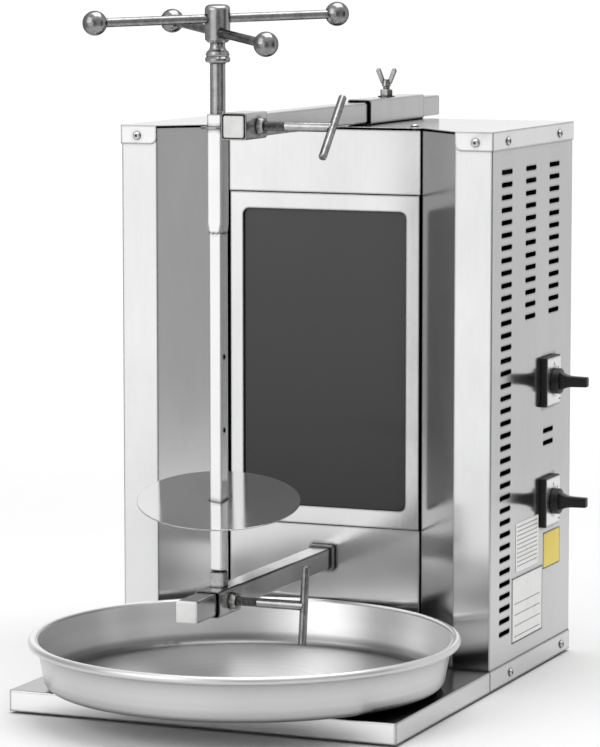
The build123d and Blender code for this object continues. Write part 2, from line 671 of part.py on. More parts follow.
with BuildPart() as upper_arm_caps:
    tube_cap(UPPER_ARM_X, UPPER_ARM_FRONT, UPPER_ARM_Z, True)
    tube_cap(UPPER_ARM_X, UPPER_ARM_BACK - CAP_THICKNESS, UPPER_ARM_Z, False)
    fillet(upper_arm_caps.faces().sort_by(Axis.Y)[0].edges(), 2.0)
    fillet(upper_arm_caps.faces().sort_by(Axis.Y)[-1].edges(), 2.0)
upper_arm_caps.part.label = "upper_arm_caps"
export_step(upper_arm_caps.part, "parts/upper_arm_caps.step")

COLLAR_INSIDE = SOCKET - 2 * SOCKET_WALL
# a collar is pulled towards its screw, so its far wall lies close to the tube
PULL = (COLLAR_INSIDE - TUBE) / 2 - 0.35
UPPER_COLLAR_X = UPPER_ARM_X + PULL
UPPER_COLLAR_Z = UPPER_ARM_Z + 0.5
LOWER_COLLAR_Z = LOWER_ARM_Z - 0.5
UPPER_SCREW_Y = UPPER_COLLAR_Y + 5
LOWER_SCREW_Y = LOWER_COLLAR_Y + 2


def collar(x, y, z, screw_y, screw_z):
    """A short square sleeve with a drilled side for its clamp screw."""
    middle = (x, y + COLLAR_LENGTH / 2, z)
    start = Plane(origin=middle, x_dir=(1, 0, 0), z_dir=(0, -1, 0))
    square_tube(start, SOCKET, SOCKET_WALL, COLLAR_LENGTH, 3.2)
    drill(x + SOCKET / 2, screw_y, screw_z, (1, 0, 0), diameter=ROD_D + 0.6)


def clamp_nut(x, y, z):
    """A hexagon nut on the side of a collar, bored for the clamp rod."""
    seat = Plane(origin=(x, y, z), x_dir=(0, 1, 0), z_dir=(1, 0, 0))
    with BuildSketch(seat) as profile:
        RegularPolygon(NUT_AF / 2, 6, major_radius=False)
    extrude(profile.sketch, amount=NUT_HEIGHT)
    with BuildSketch(seat) as profile:
        Circle(NUT_AF / 2 * 1.16)
    extrude(profile.sketch, amount=NUT_HEIGHT, taper=8, mode=Mode.INTERSECT)
    with BuildSketch(seat) as profile:
        Circle(ROD_D / 2 + 0.08)
    extrude(profile.sketch, amount=NUT_HEIGHT, mode=Mode.SUBTRACT)


with BuildPart() as upper_collar:
    collar(UPPER_COLLAR_X, UPPER_COLLAR_Y, UPPER_COLLAR_Z, UPPER_SCREW_Y, UPPER_ARM_Z)
upper_collar.part.label = "upper_collar"
export_step(upper_collar.part, "parts/upper_collar.step")

UPPER_SIDE_X = UPPER_COLLAR_X + SOCKET / 2
with BuildPart() as upper_clamp_nut:
    clamp_nut(UPPER_SIDE_X, UPPER_SCREW_Y, UPPER_ARM_Z)
upper_clamp_nut.part.label = "upper_clamp_nut"
export_step(upper_clamp_nut.part, "parts/upper_clamp_nut.step")

GUIDE_Z = 663.5
GUIDE_THICKNESS = 3.0
GUIDE_OUTER_R = 19.0
GUIDE_HOLE_R = 13.15
with BuildPart() as guide_ring:
    ring_side = UPPER_COLLAR_X - SOCKET / 2
    with BuildSketch(Plane.XY.offset(GUIDE_Z)):
        with Locations((0, AXIS_Y)):
            Circle(GUIDE_OUTER_R)
        with Locations((ring_side - 6, AXIS_Y)):
            Rectangle(12, 30)
        with Locations((ring_side + 20, AXIS_Y)):
            Rectangle(40, 60, mode=Mode.SUBTRACT)
        with Locations((0, AXIS_Y)):
            Circle(GUIDE_HOLE_R, mode=Mode.SUBTRACT)
    extrude(amount=GUIDE_THICKNESS)
    fillet(guide_ring.edges().filter_by(GeomType.CIRCLE).group_by(SortBy.RADIUS)[-1], 0.8)
guide_ring.part.label = "guide_ring"
export_step(guide_ring.part, "parts/guide_ring.step")


# ---- clamp screws -------------------------------------------------------------------------
def clamp_rod(tip_x, side_x, y, z):
    """M10 rod along X: a threaded stretch with ring grooves, then plain up to the bar."""
    bar_x = side_x + ROD_REACH
    axis_plane = Plane(origin=(0, y, z), x_dir=(1, 0, 0), z_dir=(0, 0, 1))
    thread_end = side_x + NUT_HEIGHT + THREAD_LENGTH
    root = ROD_D / 2 - 0.75
    crest = ROD_D / 2
    turns = int((thread_end - tip_x) / THREAD_PITCH)
    outline = [(tip_x, 0), (tip_x, root)]
    for turn in range(turns):
        x = tip_x + (turn + 0.5) * THREAD_PITCH
        outline += [(x - 0.1, crest), (x + 0.1, crest), (x + THREAD_PITCH / 2, root)]
    outline += [(thread_end + 0.6, crest + 0.3), (bar_x, crest + 0.3), (bar_x, 0)]
    with BuildSketch(axis_plane) as profile:
        with BuildLine():
            Polyline(*outline, close=True)
        make_face()
    revolve(profile.sketch, axis=Axis((0, y, z), (1, 0, 0)))


def clamp_bar_plane(side_x, y, z, tilt):
    """Plane at the middle of a T-bar, its normal along the bar."""
    t = radians(tilt)
    return Plane(origin=(side_x + ROD_REACH, y, z), x_dir=(1, 0, 0), z_dir=(0, sin(t), cos(t)))


def clamp_bar(plane):
    """A round bar centred on the plane."""
    with BuildSketch(plane) as profile:
        Circle(BAR_D / 2)
    extrude(profile.sketch, amount=BAR_LENGTH / 2, both=True)


UPPER_BAR_PLANE = clamp_bar_plane(UPPER_SIDE_X, UPPER_SCREW_Y, UPPER_ARM_Z, UPPER_BAR_TILT)
with BuildPart() as upper_clamp_screw:
    tip_x = UPPER_ARM_X + TUBE / 2 + 0.1
    clamp_rod(tip_x, UPPER_SIDE_X, UPPER_SCREW_Y, UPPER_ARM_Z)
    with BuildSketch(UPPER_BAR_PLANE):
        Circle(BAR_D / 2 + 0.02)
    extrude(amount=BAR_LENGTH / 2, both=True, mode=Mode.SUBTRACT)
upper_clamp_screw.part.label = "upper_clamp_screw"
export_step(upper_clamp_screw.part, "parts/upper_clamp_screw.step")

with BuildPart() as upper_clamp_bar:
    clamp_bar(UPPER_BAR_PLANE)
    fillet(upper_clamp_bar.edges().filter_by(GeomType.CIRCLE), 1.6)
upper_clamp_bar.part.label = "upper_clamp_bar"
export_step(upper_clamp_bar.part, "parts/upper_clamp_bar.step")

LOWER_COLLAR_X = PULL
LOWER_SIDE_X = LOWER_COLLAR_X + SOCKET / 2
LOWER_BAR_PLANE = clamp_bar_plane(LOWER_SIDE_X, LOWER_SCREW_Y, LOWER_ARM_Z, LOWER_BAR_TILT)
with BuildPart() as lower_clamp_screw:
    tip_x = TUBE / 2 + 0.35
    clamp_rod(tip_x, LOWER_SIDE_X, LOWER_SCREW_Y, LOWER_ARM_Z)
    with BuildSketch(LOWER_BAR_PLANE):
        Circle(BAR_D / 2 + 0.02)
    extrude(amount=BAR_LENGTH / 2, both=True, mode=Mode.SUBTRACT)
lower_clamp_screw.part.label = "lower_clamp_screw"
export_step(lower_clamp_screw.part, "parts/lower_clamp_screw.step")

with BuildPart() as lower_clamp_bar:
    clamp_bar(LOWER_BAR_PLANE)
    fillet(lower_clamp_bar.edges().filter_by(GeomType.CIRCLE), 1.6)
lower_clamp_bar.part.label = "lower_clamp_bar"
export_step(lower_clamp_bar.part, "parts/lower_clamp_bar.step")

WING_SCREW_D = 8.0
WING_STEM_TOP = SOCKET_TOP + 21
with BuildPart() as wing_screw:
    with BuildSketch(front_plane(WING_SCREW_Y)) as wings:
        for side in (-1, 1):
            with BuildLine():
                Polyline(
                    (UPPER_SOCKET_X + side * 1.5, SOCKET_TOP + 14),
                    (UPPER_SOCKET_X + side * 6.5, SOCKET_TOP + 16),
                    (UPPER_SOCKET_X + side * 13.0, SOCKET_TOP + 31),
                    (UPPER_SOCKET_X + side * 11.4, SOCKET_TOP + 34.5),
                    (UPPER_SOCKET_X + side * 8.0, SOCKET_TOP + 34),
                    (UPPER_SOCKET_X + side * 2.5, SOCKET_TOP + 20),
                    close=True,
                )
            make_face()
        fillet(wings.vertices().filter_by_position(Axis.Y, SOCKET_TOP + 30, SOCKET_TOP + 36), 1.2)
    extrude(amount=1.6, both=True)
    chamfer(wing_screw.faces().filter_by(Axis.Y).edges(), 0.4)
    with BuildSketch(Plane.XY.offset(UPPER_ARM_Z + TUBE / 2 + 0.35)):
        with Locations((UPPER_SOCKET_X, WING_SCREW_Y)):
            Circle(WING_SCREW_D / 2)
    extrude(amount=WING_STEM_TOP - UPPER_ARM_Z - TUBE / 2 - 0.35)
    with BuildSketch(Plane.XY.offset(SOCKET_TOP + 13)):
        with Locations((UPPER_SOCKET_X, WING_SCREW_Y)):
            Circle(5.6)
    extrude(amount=7, taper=10)
wing_screw.part.label = "wing_screw"
export_step(wing_screw.part, "parts/wing_screw.step")

# ---- lower collar with the pivot post -----------------------------------------------------
with BuildPart() as lower_collar:
    collar(LOWER_COLLAR_X, LOWER_COLLAR_Y, LOWER_COLLAR_Z, LOWER_SCREW_Y, LOWER_ARM_Z)
lower_collar.part.label = "lower_collar"
export_step(lower_collar.part, "parts/lower_collar.step")

with BuildPart() as lower_clamp_nut:
    clamp_nut(LOWER_SIDE_X, LOWER_SCREW_Y, LOWER_ARM_Z)
lower_clamp_nut.part.label = "lower_clamp_nut"
export_step(lower_clamp_nut.part, "parts/lower_clamp_nut.step")

LOWER_COLLAR_TOP = LOWER_COLLAR_Z + SOCKET / 2
POST = 16.0
PIVOT_D = 8.0
PIVOT_TOP = SPINDLE_BOTTOM + 12
with BuildPart() as pivot_post:
    with BuildSketch(Plane.XY.offset(LOWER_COLLAR_TOP)):
        with Locations((0, AXIS_Y)):
            RectangleRounded(POST, POST, 2)
    extrude(amount=SPINDLE_BOTTOM - 0.3 - LOWER_COLLAR_TOP)
    chamfer(pivot_post.faces().sort_by(Axis.Z)[-1].edges(), 1.2)
    with BuildSketch(Plane.XY.offset(SPINDLE_BOTTOM - 2)):
        with Locations((0, AXIS_Y)):
            Circle(PIVOT_D / 2)
    extrude(amount=PIVOT_TOP - SPINDLE_BOTTOM + 2)
    chamfer(pivot_post.faces().sort_by(Axis.Z)[-1].edges(), 1)
pivot_post.part.label = "pivot_post"
export_step(pivot_post.part, "parts/pivot_post.step")


# ---- spindle ------------------------------------------------------------------------------
def spindle_plane(z):
    """Horizontal plane on the spindle's axis, turned with the spindle."""
    a = radians(SPINDLE_TURN)
    return Plane(origin=(0, AXIS_Y, z), x_dir=(cos(a), sin(a), 0), z_dir=(0, 0, 1))


def spindle_hole(z):
    """Plane on the spindle's axis at this height, its normal along the cross hole."""
    a = radians(SPINDLE_TURN)
    return Plane(origin=(0, AXIS_Y, z), x_dir=(-sin(a), cos(a), 0), z_dir=(cos(a), sin(a), 0))


with BuildPart() as spindle_bar:
    with BuildSketch(spindle_plane(SPINDLE_BOTTOM)):
        RectangleRounded(SPINDLE_BAR, SPINDLE_BAR, 1.2)
    extrude(amount=SPINDLE_TOP - SPINDLE_BOTTOM)
    fillet(spindle_bar.faces().sort_by(Axis.Z)[0].edges(), 3.2)
    chamfer(spindle_bar.faces().sort_by(Axis.Z)[-1].edges(), 1)
    for z in HOLE_HEIGHTS:
        with BuildSketch(spindle_hole(z)):
            Circle(CROSS_HOLE_D / 2)
        extrude(amount=SPINDLE_BAR, both=True, mode=Mode.SUBTRACT)
    with BuildSketch(spindle_plane(SPINDLE_BOTTOM)):
        Circle(PIVOT_D / 2 + 0.08)
    extrude(amount=PIVOT_TOP - SPINDLE_BOTTOM + 1, mode=Mode.SUBTRACT)
spindle_bar.part.label = "spindle_bar"
export_step(spindle_bar.part, "parts/spindle_bar.step")

PIN_D = 5.0
PIN_LENGTH = 27.0
with BuildPart() as plate_pin:
    with BuildSketch(spindle_hole(HOLE_HEIGHTS[0])):
        Circle(PIN_D / 2)
    extrude(amount=PIN_LENGTH / 2, both=True)
    chamfer(plate_pin.edges().filter_by(GeomType.CIRCLE), 0.6)
plate_pin.part.label = "plate_pin"
export_step(plate_pin.part, "parts/plate_pin.step")

PLATE_HOLE = SPINDLE_BAR + 1.7
with BuildPart() as meat_plate:
    with BuildSketch(leaning(0, AXIS_Y, PLATE_Z, PLATE_LEAN, PLATE_AZIMUTH)):
        Circle(PLATE_D / 2)
        Rectangle(PLATE_HOLE, PLATE_HOLE, rotation=SPINDLE_TURN - PLATE_AZIMUTH, mode=Mode.SUBTRACT)
    extrude(amount=PLATE_THICKNESS / 2, both=True)
    fillet(meat_plate.edges().filter_by(GeomType.CIRCLE), 0.5)
meat_plate.part.label = "meat_plate"
export_step(meat_plate.part, "parts/meat_plate.step")

NOTCH_R = 1.9
with BuildPart() as drive_sleeve:
    with BuildSketch(spindle_plane(SLEEVE_BOTTOM)):
        RectangleRounded(SLEEVE, SLEEVE, 1.6)
        RectangleRounded(SLEEVE - 2 * SLEEVE_WALL, SLEEVE - 2 * SLEEVE_WALL, 0.8, mode=Mode.SUBTRACT)
    extrude(amount=SLEEVE_TOP - SLEEVE_BOTTOM)
    # the toothed end is ground to a slight cone
    with BuildSketch(spindle_plane(SLEEVE_BOTTOM)):
        Circle(10.6)
    with BuildSketch(spindle_plane(SLEEVE_BOTTOM + 24)):
        Circle(13.4)
    with BuildSketch(spindle_plane(SLEEVE_TOP)):
        Circle(13.4)
    loft(ruled=True, mode=Mode.INTERSECT)
    for turn in (0, 90):
        a = radians(SPINDLE_TURN + turn)
        start = (0, AXIS_Y, SLEEVE_BOTTOM)
        across = Plane(origin=start, x_dir=(cos(a), sin(a), 0), z_dir=(sin(a), -cos(a), 0))
        with BuildSketch(across):
            with Locations((-5.2, 0), (0, 0), (5.2, 0)):
                Circle(NOTCH_R)
        extrude(amount=SLEEVE, both=True, mode=Mode.SUBTRACT)
drive_sleeve.part.label = "drive_sleeve"
export_step(drive_sleeve.part, "parts/drive_sleeve.step")

RING_BOTTOM = 737.0
RING_GROOVE = 743.5
RING_TOP = 750.0
with BuildPart() as handle_shaft:
    with BuildSketch(spindle_plane(SLEEVE_TOP - 10)):
        RectangleRounded(SLEEVE - 2 * SLEEVE_WALL - 0.1, SLEEVE - 2 * SLEEVE_WALL - 0.1, 1)
    extrude(amount=10)
    with BuildSketch(Plane(origin=(0, AXIS_Y, 0), x_dir=(1, 0, 0), z_dir=(0, -1, 0))):
        with BuildLine():
            Polyline(
                (0, SLEEVE_TOP),
                (SHAFT_D / 2, SLEEVE_TOP),
                (SHAFT_D / 2, RING_BOTTOM - 1.5),
                (SHAFT_D / 2 + 2.2, RING_BOTTOM),
                (RING_D / 2 - 1.2, RING_BOTTOM),
                (RING_D / 2, RING_BOTTOM + 1.8),
                (RING_D / 2, RING_GROOVE - 2.2),
                (RING_D / 2 - 1.6, RING_GROOVE),
                (RING_D / 2 - 0.6, RING_GROOVE + 2.0),
                (RING_D / 2 - 2.0, RING_TOP - 1.0),
            )
            Spline(
                (RING_D / 2 - 2.0, RING_TOP - 1.0),
                (NECK_D / 2 + 0.5, RING_TOP + 2.5),
                (NECK_D / 2, RING_TOP + 5.5),
                (NECK_D / 2, HUB_BOTTOM - 2.0),
            )
            Polyline(
                (NECK_D / 2, HUB_BOTTOM - 2.0),
                (NECK_D / 2, HUB_BOTTOM + 1),
                (0, HUB_BOTTOM + 1),
                (0, SLEEVE_TOP),
            )
        make_face()
    revolve(axis=Axis((0, AXIS_Y, 0), (0, 0, 1)))
handle_shaft.part.label = "handle_shaft"
export_step(handle_shaft.part, "parts/handle_shaft.step")


def hub_plane(rise):
    """Plane of the leaning hub, this far above its bottom face."""
    base = leaning(0, AXIS_Y, HUB_BOTTOM, HANDLE_LEAN, LEAN_AZIMUTH)
    return base.offset(rise)


def rod_plane(rise, azimuth):
    """Plane on the hub's axis whose normal runs along a handle rod."""
    level = hub_plane(rise)
    a = radians(azimuth - LEAN_AZIMUTH)
    along = level.x_dir * cos(a) + level.y_dir * sin(a)
    return Plane(origin=level.origin, x_dir=level.z_dir, z_dir=along)


HANDLE_RODS = (rod_plane(UPPER_ROD_RISE, 45.0), rod_plane(LOWER_ROD_RISE, -45.0))

with BuildPart() as handle_hub:
    with BuildSketch(hub_plane(0)):
        Circle(HUB_D / 2)
    extrude(amount=HUB_HEIGHT)
    top_edge = handle_hub.edges().filter_by(GeomType.CIRCLE).sort_by(Axis.Z)[-1]
    low_edge = handle_hub.edges().filter_by(GeomType.CIRCLE).sort_by(Axis.Z)[0]
    fillet(top_edge, 5)
    chamfer(low_edge, 3)
    with BuildSketch(spindle_plane(HUB_BOTTOM - 3)):
        Circle(NECK_D / 2 + 0.05)
    extrude(amount=5, mode=Mode.SUBTRACT)
    for plane in HANDLE_RODS:
        with BuildSketch(plane):
            Circle(HANDLE_ROD_D / 2 + 0.03)
        extrude(amount=HUB_D, both=True, mode=Mode.SUBTRACT)
handle_hub.part.label = "handle_hub"
export_step(handle_hub.part, "parts/handle_hub.step")

ROD_END = HANDLE_RADIUS - 3
with BuildPart() as handle_rods:
    for plane in HANDLE_RODS:
        with BuildSketch(plane):
            Circle(HANDLE_ROD_D / 2)
        extrude(amount=ROD_END, both=True)
handle_rods.part.label = "handle_rods"
export_step(handle_rods.part, "parts/handle_rods.step")

with BuildPart() as handle_balls:
    for plane in HANDLE_RODS:
        for side in (-1, 1):
            with Locations(plane.offset(side * HANDLE_RADIUS).location):
                Sphere(BALL_D / 2)
    for plane in HANDLE_RODS:
        with BuildSketch(plane):
            Circle(HANDLE_ROD_D / 2 + 0.03)
        extrude(amount=ROD_END + 0.05, both=True, mode=Mode.SUBTRACT)
handle_balls.part.label = "handle_balls"
export_step(handle_balls.part, "parts/handle_balls.step")

# ---- drip pan -----------------------------------------------------------------------------
PAN_BOTTOM = BASE_TOP + RAIL_HEIGHT + 0.3
PAN_SPLIT_R = PAN_FLOOR_R - PAN_CORNER_R    # the flat middle is its own piece inside this radius
PAN_AXIS = Axis((PAN_CENTRE[0], PAN_CENTRE[1], 0), (0, 0, 1))
PAN_SECTION = Plane(origin=(PAN_CENTRE[0], PAN_CENTRE[1], PAN_BOTTOM), x_dir=(1, 0, 0), z_dir=(0, -1, 0))

with BuildPart() as pan_wall:
    with BuildSketch(PAN_SECTION):
        with BuildLine():
            FilletPolyline(
                (PAN_SPLIT_R, 0),
                (PAN_FLOOR_R, 0),
                (PAN_BEAD_R - PAN_BEAD + 0.4, PAN_BEAD_RISE + 2),
                radius=PAN_CORNER_R,
            )
            offset(amount=PAN_WALL, side=Side.LEFT)
        make_face()
        with Locations((PAN_BEAD_R, PAN_BEAD_RISE)):
            Circle(PAN_BEAD)
    revolve(axis=PAN_AXIS)
pan_wall.part.label = "pan_wall"
export_step(pan_wall.part, "parts/pan_wall.step")

with BuildPart() as pan_floor:
    with BuildSketch(Plane(origin=PAN_SECTION.origin)):
        Circle(PAN_SPLIT_R)
    extrude(amount=PAN_WALL)
pan_floor.part.label = "pan_floor"
export_step(pan_floor.part, "parts/pan_floor.step")

# ---- switches -----------------------------------------------------------------------------
FACE_X = WALL_X + SWITCH_DEPTH
PLATE_FACE = 1.0
SWITCH_PLACES = [(SWITCH_Y, z) for z in SWITCH_Z.values()]

with BuildPart() as switch_housings:
    with BuildSketch(side_plane(WALL_X)):
        with Locations(*SWITCH_PLACES):
            RectangleRounded(*SWITCH_FACE, 3)
    extrude(amount=SWITCH_DEPTH)
    fillet(switch_housings.faces().filter_by(Axis.X).group_by(Axis.X)[-1].edges(), 1.2)
    with BuildSketch(side_plane(WALL_X)):
        with Locations(*SWITCH_PLACES):
            Circle(6)
    extrude(amount=SWITCH_DEPTH, mode=Mode.SUBTRACT)
switch_housings.part.label = "switch_housings"
export_step(switch_housings.part, "parts/switch_housings.step")

with BuildPart() as switch_plates:
    with BuildSketch(side_plane(FACE_X)):
        with Locations(*SWITCH_PLACES):
            RectangleRounded(SWITCH_FACE[0] - 2.6, SWITCH_FACE[1] - 2.6, 2)
        with Locations(*SWITCH_PLACES):
            Circle(6, mode=Mode.SUBTRACT)
    extrude(amount=PLATE_FACE)
switch_plates.part.label = "switch_plates"
export_step(switch_plates.part, "parts/switch_plates.step")

BLOCK_DEPTH = 52.0
INNER_WALL_X = WALL_X - SHEET
with BuildPart() as switch_blocks:
    with BuildSketch(side_plane(INNER_WALL_X)):
        with Locations(*SWITCH_PLACES):
            RectangleRounded(44, 44, 4)
    extrude(amount=-BLOCK_DEPTH)
    with BuildSketch(side_plane(INNER_WALL_X)):
        with Locations(*SWITCH_PLACES):
            Circle(4.2)
    extrude(amount=-BLOCK_DEPTH + 12, mode=Mode.SUBTRACT)
switch_blocks.part.label = "switch_blocks"
export_step(switch_blocks.part, "parts/switch_blocks.step")

KNOB_D = 31.0
KNOB_BASE_X = FACE_X + PLATE_FACE + 0.4
KNOB_BASE = 8.5
LEVER_ROOT = (13.0, 22.5)
LEVER_TIP = (10.0, 12.0)
SHAFT_IN_X = INNER_WALL_X - 30


def knob(z):
    """A round knob with a lever standing straight out, and its metal shaft."""
    with BuildSketch(side_plane(KNOB_BASE_X)) as profile:
        with Locations((SWITCH_Y, z)):
            Circle(KNOB_D / 2)
    extrude(profile.sketch, amount=KNOB_BASE)
    top = KNOB_BASE_X + KNOB_BASE
    reach = LEVER_TIP_X - top
    stations = (
        (0.0, *LEVER_ROOT),
        (2.5, 12.7, 19.4),
        (5.0, 12.3, 17.0),
        (8.0, 11.8, 15.0),
        (11.0, 11.4, 13.6),
        (15.0, 11.0, 12.8),
        (reach, *LEVER_TIP),
    )
    sections = []
    for distance, across, high in stations:
        with BuildSketch(side_plane(top + distance)) as section:
            with Locations((SWITCH_Y, z)):
                RectangleRounded(across, high, 2.4)
        sections.append(section.sketch)
    loft(sections, ruled=True)
    with BuildSketch(side_plane(KNOB_BASE_X)) as profile:
        with Locations((SWITCH_Y, z)):
            Circle(3)
    extrude(profile.sketch, amount=SHAFT_IN_X - KNOB_BASE_X)


with BuildPart() as knob_upper:
    knob(SWITCH_Z["upper"])
    fillet(knob_upper.faces().sort_by(Axis.X)[-1].edges(), 1.5)
    rim = knob_upper.edges().filter_by(GeomType.CIRCLE).group_by(SortBy.RADIUS)[-1]
    fillet(rim.sort_by(Axis.X)[-1], 1.5)
knob_upper.part.label = "knob_upper"
export_step(knob_upper.part, "parts/knob_upper.step")

with BuildPart() as knob_lower:
    knob(SWITCH_Z["lower"])
    fillet(knob_lower.faces().sort_by(Axis.X)[-1].edges(), 1.5)
    rim = knob_lower.edges().filter_by(GeomType.CIRCLE).group_by(SortBy.RADIUS)[-1]
    fillet(rim.sort_by(Axis.X)[-1], 1.5)
knob_lower.part.label = "knob_lower"
export_step(knob_lower.part, "parts/knob_lower.step")

# blank plates on the right side: corners as (y, z) low and high
SIDE_PLATES = (
    ((86.3, 45.5), (196.0, 124.0)),
    ((99.0, 129.0), (180.0, 187.5)),
    ((200.0, 117.5), (260.5, 161.5)),
)
with BuildPart() as side_plates:
    with BuildSketch(side_plane(WALL_X)):
        for low, high in SIDE_PLATES:
            with Locations(((low[0] + high[0]) / 2, (low[1] + high[1]) / 2)):
                RectangleRounded(high[0] - low[0], high[1] - low[1], 1.5)
    extrude(amount=0.5)
side_plates.part.label = "side_plates"
export_step(side_plates.part, "parts/side_plates.step")

# ---- screws -------------------------------------------------------------------------------
with BuildPart() as screw_pattern:
    with BuildSketch():
        Circle(SCREW_HEAD_D / 2)
    extrude(amount=SCREW_HEAD)
    fillet(screw_pattern.edges().filter_by(GeomType.CIRCLE).sort_by(Axis.Z)[-1], 2.2)
    with BuildSketch(Plane.XY.offset(SCREW_HEAD)):
        RegularPolygon(SCREW_SOCKET, 6)
    extrude(amount=-1.8, mode=Mode.SUBTRACT)
    with BuildSketch():
        Circle(SCREW_D / 2)
    extrude(amount=-SCREW_LENGTH)

SCREW_SEATS = [Plane(origin=(side * TOP_SCREW[0], TOP_SCREW[1], CABINET_TOP)) for side in (-1, 1)]
for side in (-1, 1):
    out = (side, 0, 0)
    SCREW_SEATS += [Plane(origin=(side * HALF, y, COVER_SCREW_Z), z_dir=out) for y in COVER_SIDE_Y]
    SCREW_SEATS += [Plane(origin=(side * HALF, y, BASE_SCREW_Z), z_dir=out) for y in BASE_SIDE_Y]
    front_tab = (side * WING_SCREW_X, TAB_FACE, COVER_SCREW_Z)
    rear_lip = (side * WING_SCREW_X, BACK, COVER_SCREW_Z)
    SCREW_SEATS += [Plane(origin=front_tab, z_dir=(0, -1, 0)), Plane(origin=rear_lip, z_dir=(0, 1, 0))]
SCREW_SEATS += [Plane(origin=(x, BACK_FACE, z), z_dir=(0, 1, 0)) for x, z in BACK_SCREWS]

with BuildPart() as panel_screws:
    for seat in SCREW_SEATS:
        add(screw_pattern.part.moved(seat.location))
panel_screws.part.label = "panel_screws"
export_step(panel_screws.part, "parts/panel_screws.step")
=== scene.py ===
"""Looks of the vertical rotisserie broiler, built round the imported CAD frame."""

import math

import bmesh
import bpy
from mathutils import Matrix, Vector


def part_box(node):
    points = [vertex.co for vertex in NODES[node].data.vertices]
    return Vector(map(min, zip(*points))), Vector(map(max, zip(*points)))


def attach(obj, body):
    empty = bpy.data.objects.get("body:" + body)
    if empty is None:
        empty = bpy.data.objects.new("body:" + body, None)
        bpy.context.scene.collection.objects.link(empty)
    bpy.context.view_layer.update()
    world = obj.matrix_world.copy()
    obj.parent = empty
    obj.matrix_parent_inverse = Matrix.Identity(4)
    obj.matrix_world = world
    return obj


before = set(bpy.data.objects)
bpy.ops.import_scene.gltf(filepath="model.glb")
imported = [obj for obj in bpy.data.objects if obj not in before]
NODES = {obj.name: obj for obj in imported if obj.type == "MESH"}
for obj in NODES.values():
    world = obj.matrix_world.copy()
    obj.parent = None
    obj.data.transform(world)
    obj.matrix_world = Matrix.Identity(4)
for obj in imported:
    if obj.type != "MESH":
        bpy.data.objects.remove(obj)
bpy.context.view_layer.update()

# ---- camera ------------------------------------------------------------------------------
CAMERA_PLACE = (1.6095, -3.8733, 0.8606)   # metres
CAMERA_AZIMUTH = 22.57                     # degrees from the machine's front toward its right
CAMERA_DROP = 6.72                         # degrees below level
CAMERA_LENS = 173.6                        # millimetres, on the sensor below
SENSOR_WIDTH = 36
CLIP_END = 300


def make_camera():
    """The viewpoint: front right, a little above the machine's top."""
    azimuth, drop = math.radians(CAMERA_AZIMUTH), math.radians(CAMERA_DROP)
    forward = Vector((
        -math.sin(azimuth) * math.cos(drop),
        math.cos(azimuth) * math.cos(drop),
        -math.sin(drop),
    ))
    data = bpy.data.cameras.new("camera")
    data.lens = CAMERA_LENS
    data.sensor_width = SENSOR_WIDTH
    data.clip_end = CLIP_END
    camera = bpy.data.objects.new("camera", data)
    camera.location = CAMERA_PLACE
    camera.rotation_mode = "QUATERNION"
    camera.rotation_quaternion = forward.to_track_quat("-Z", "Y")
    bpy.context.scene.collection.objects.link(camera)
    bpy.context.scene.camera = camera


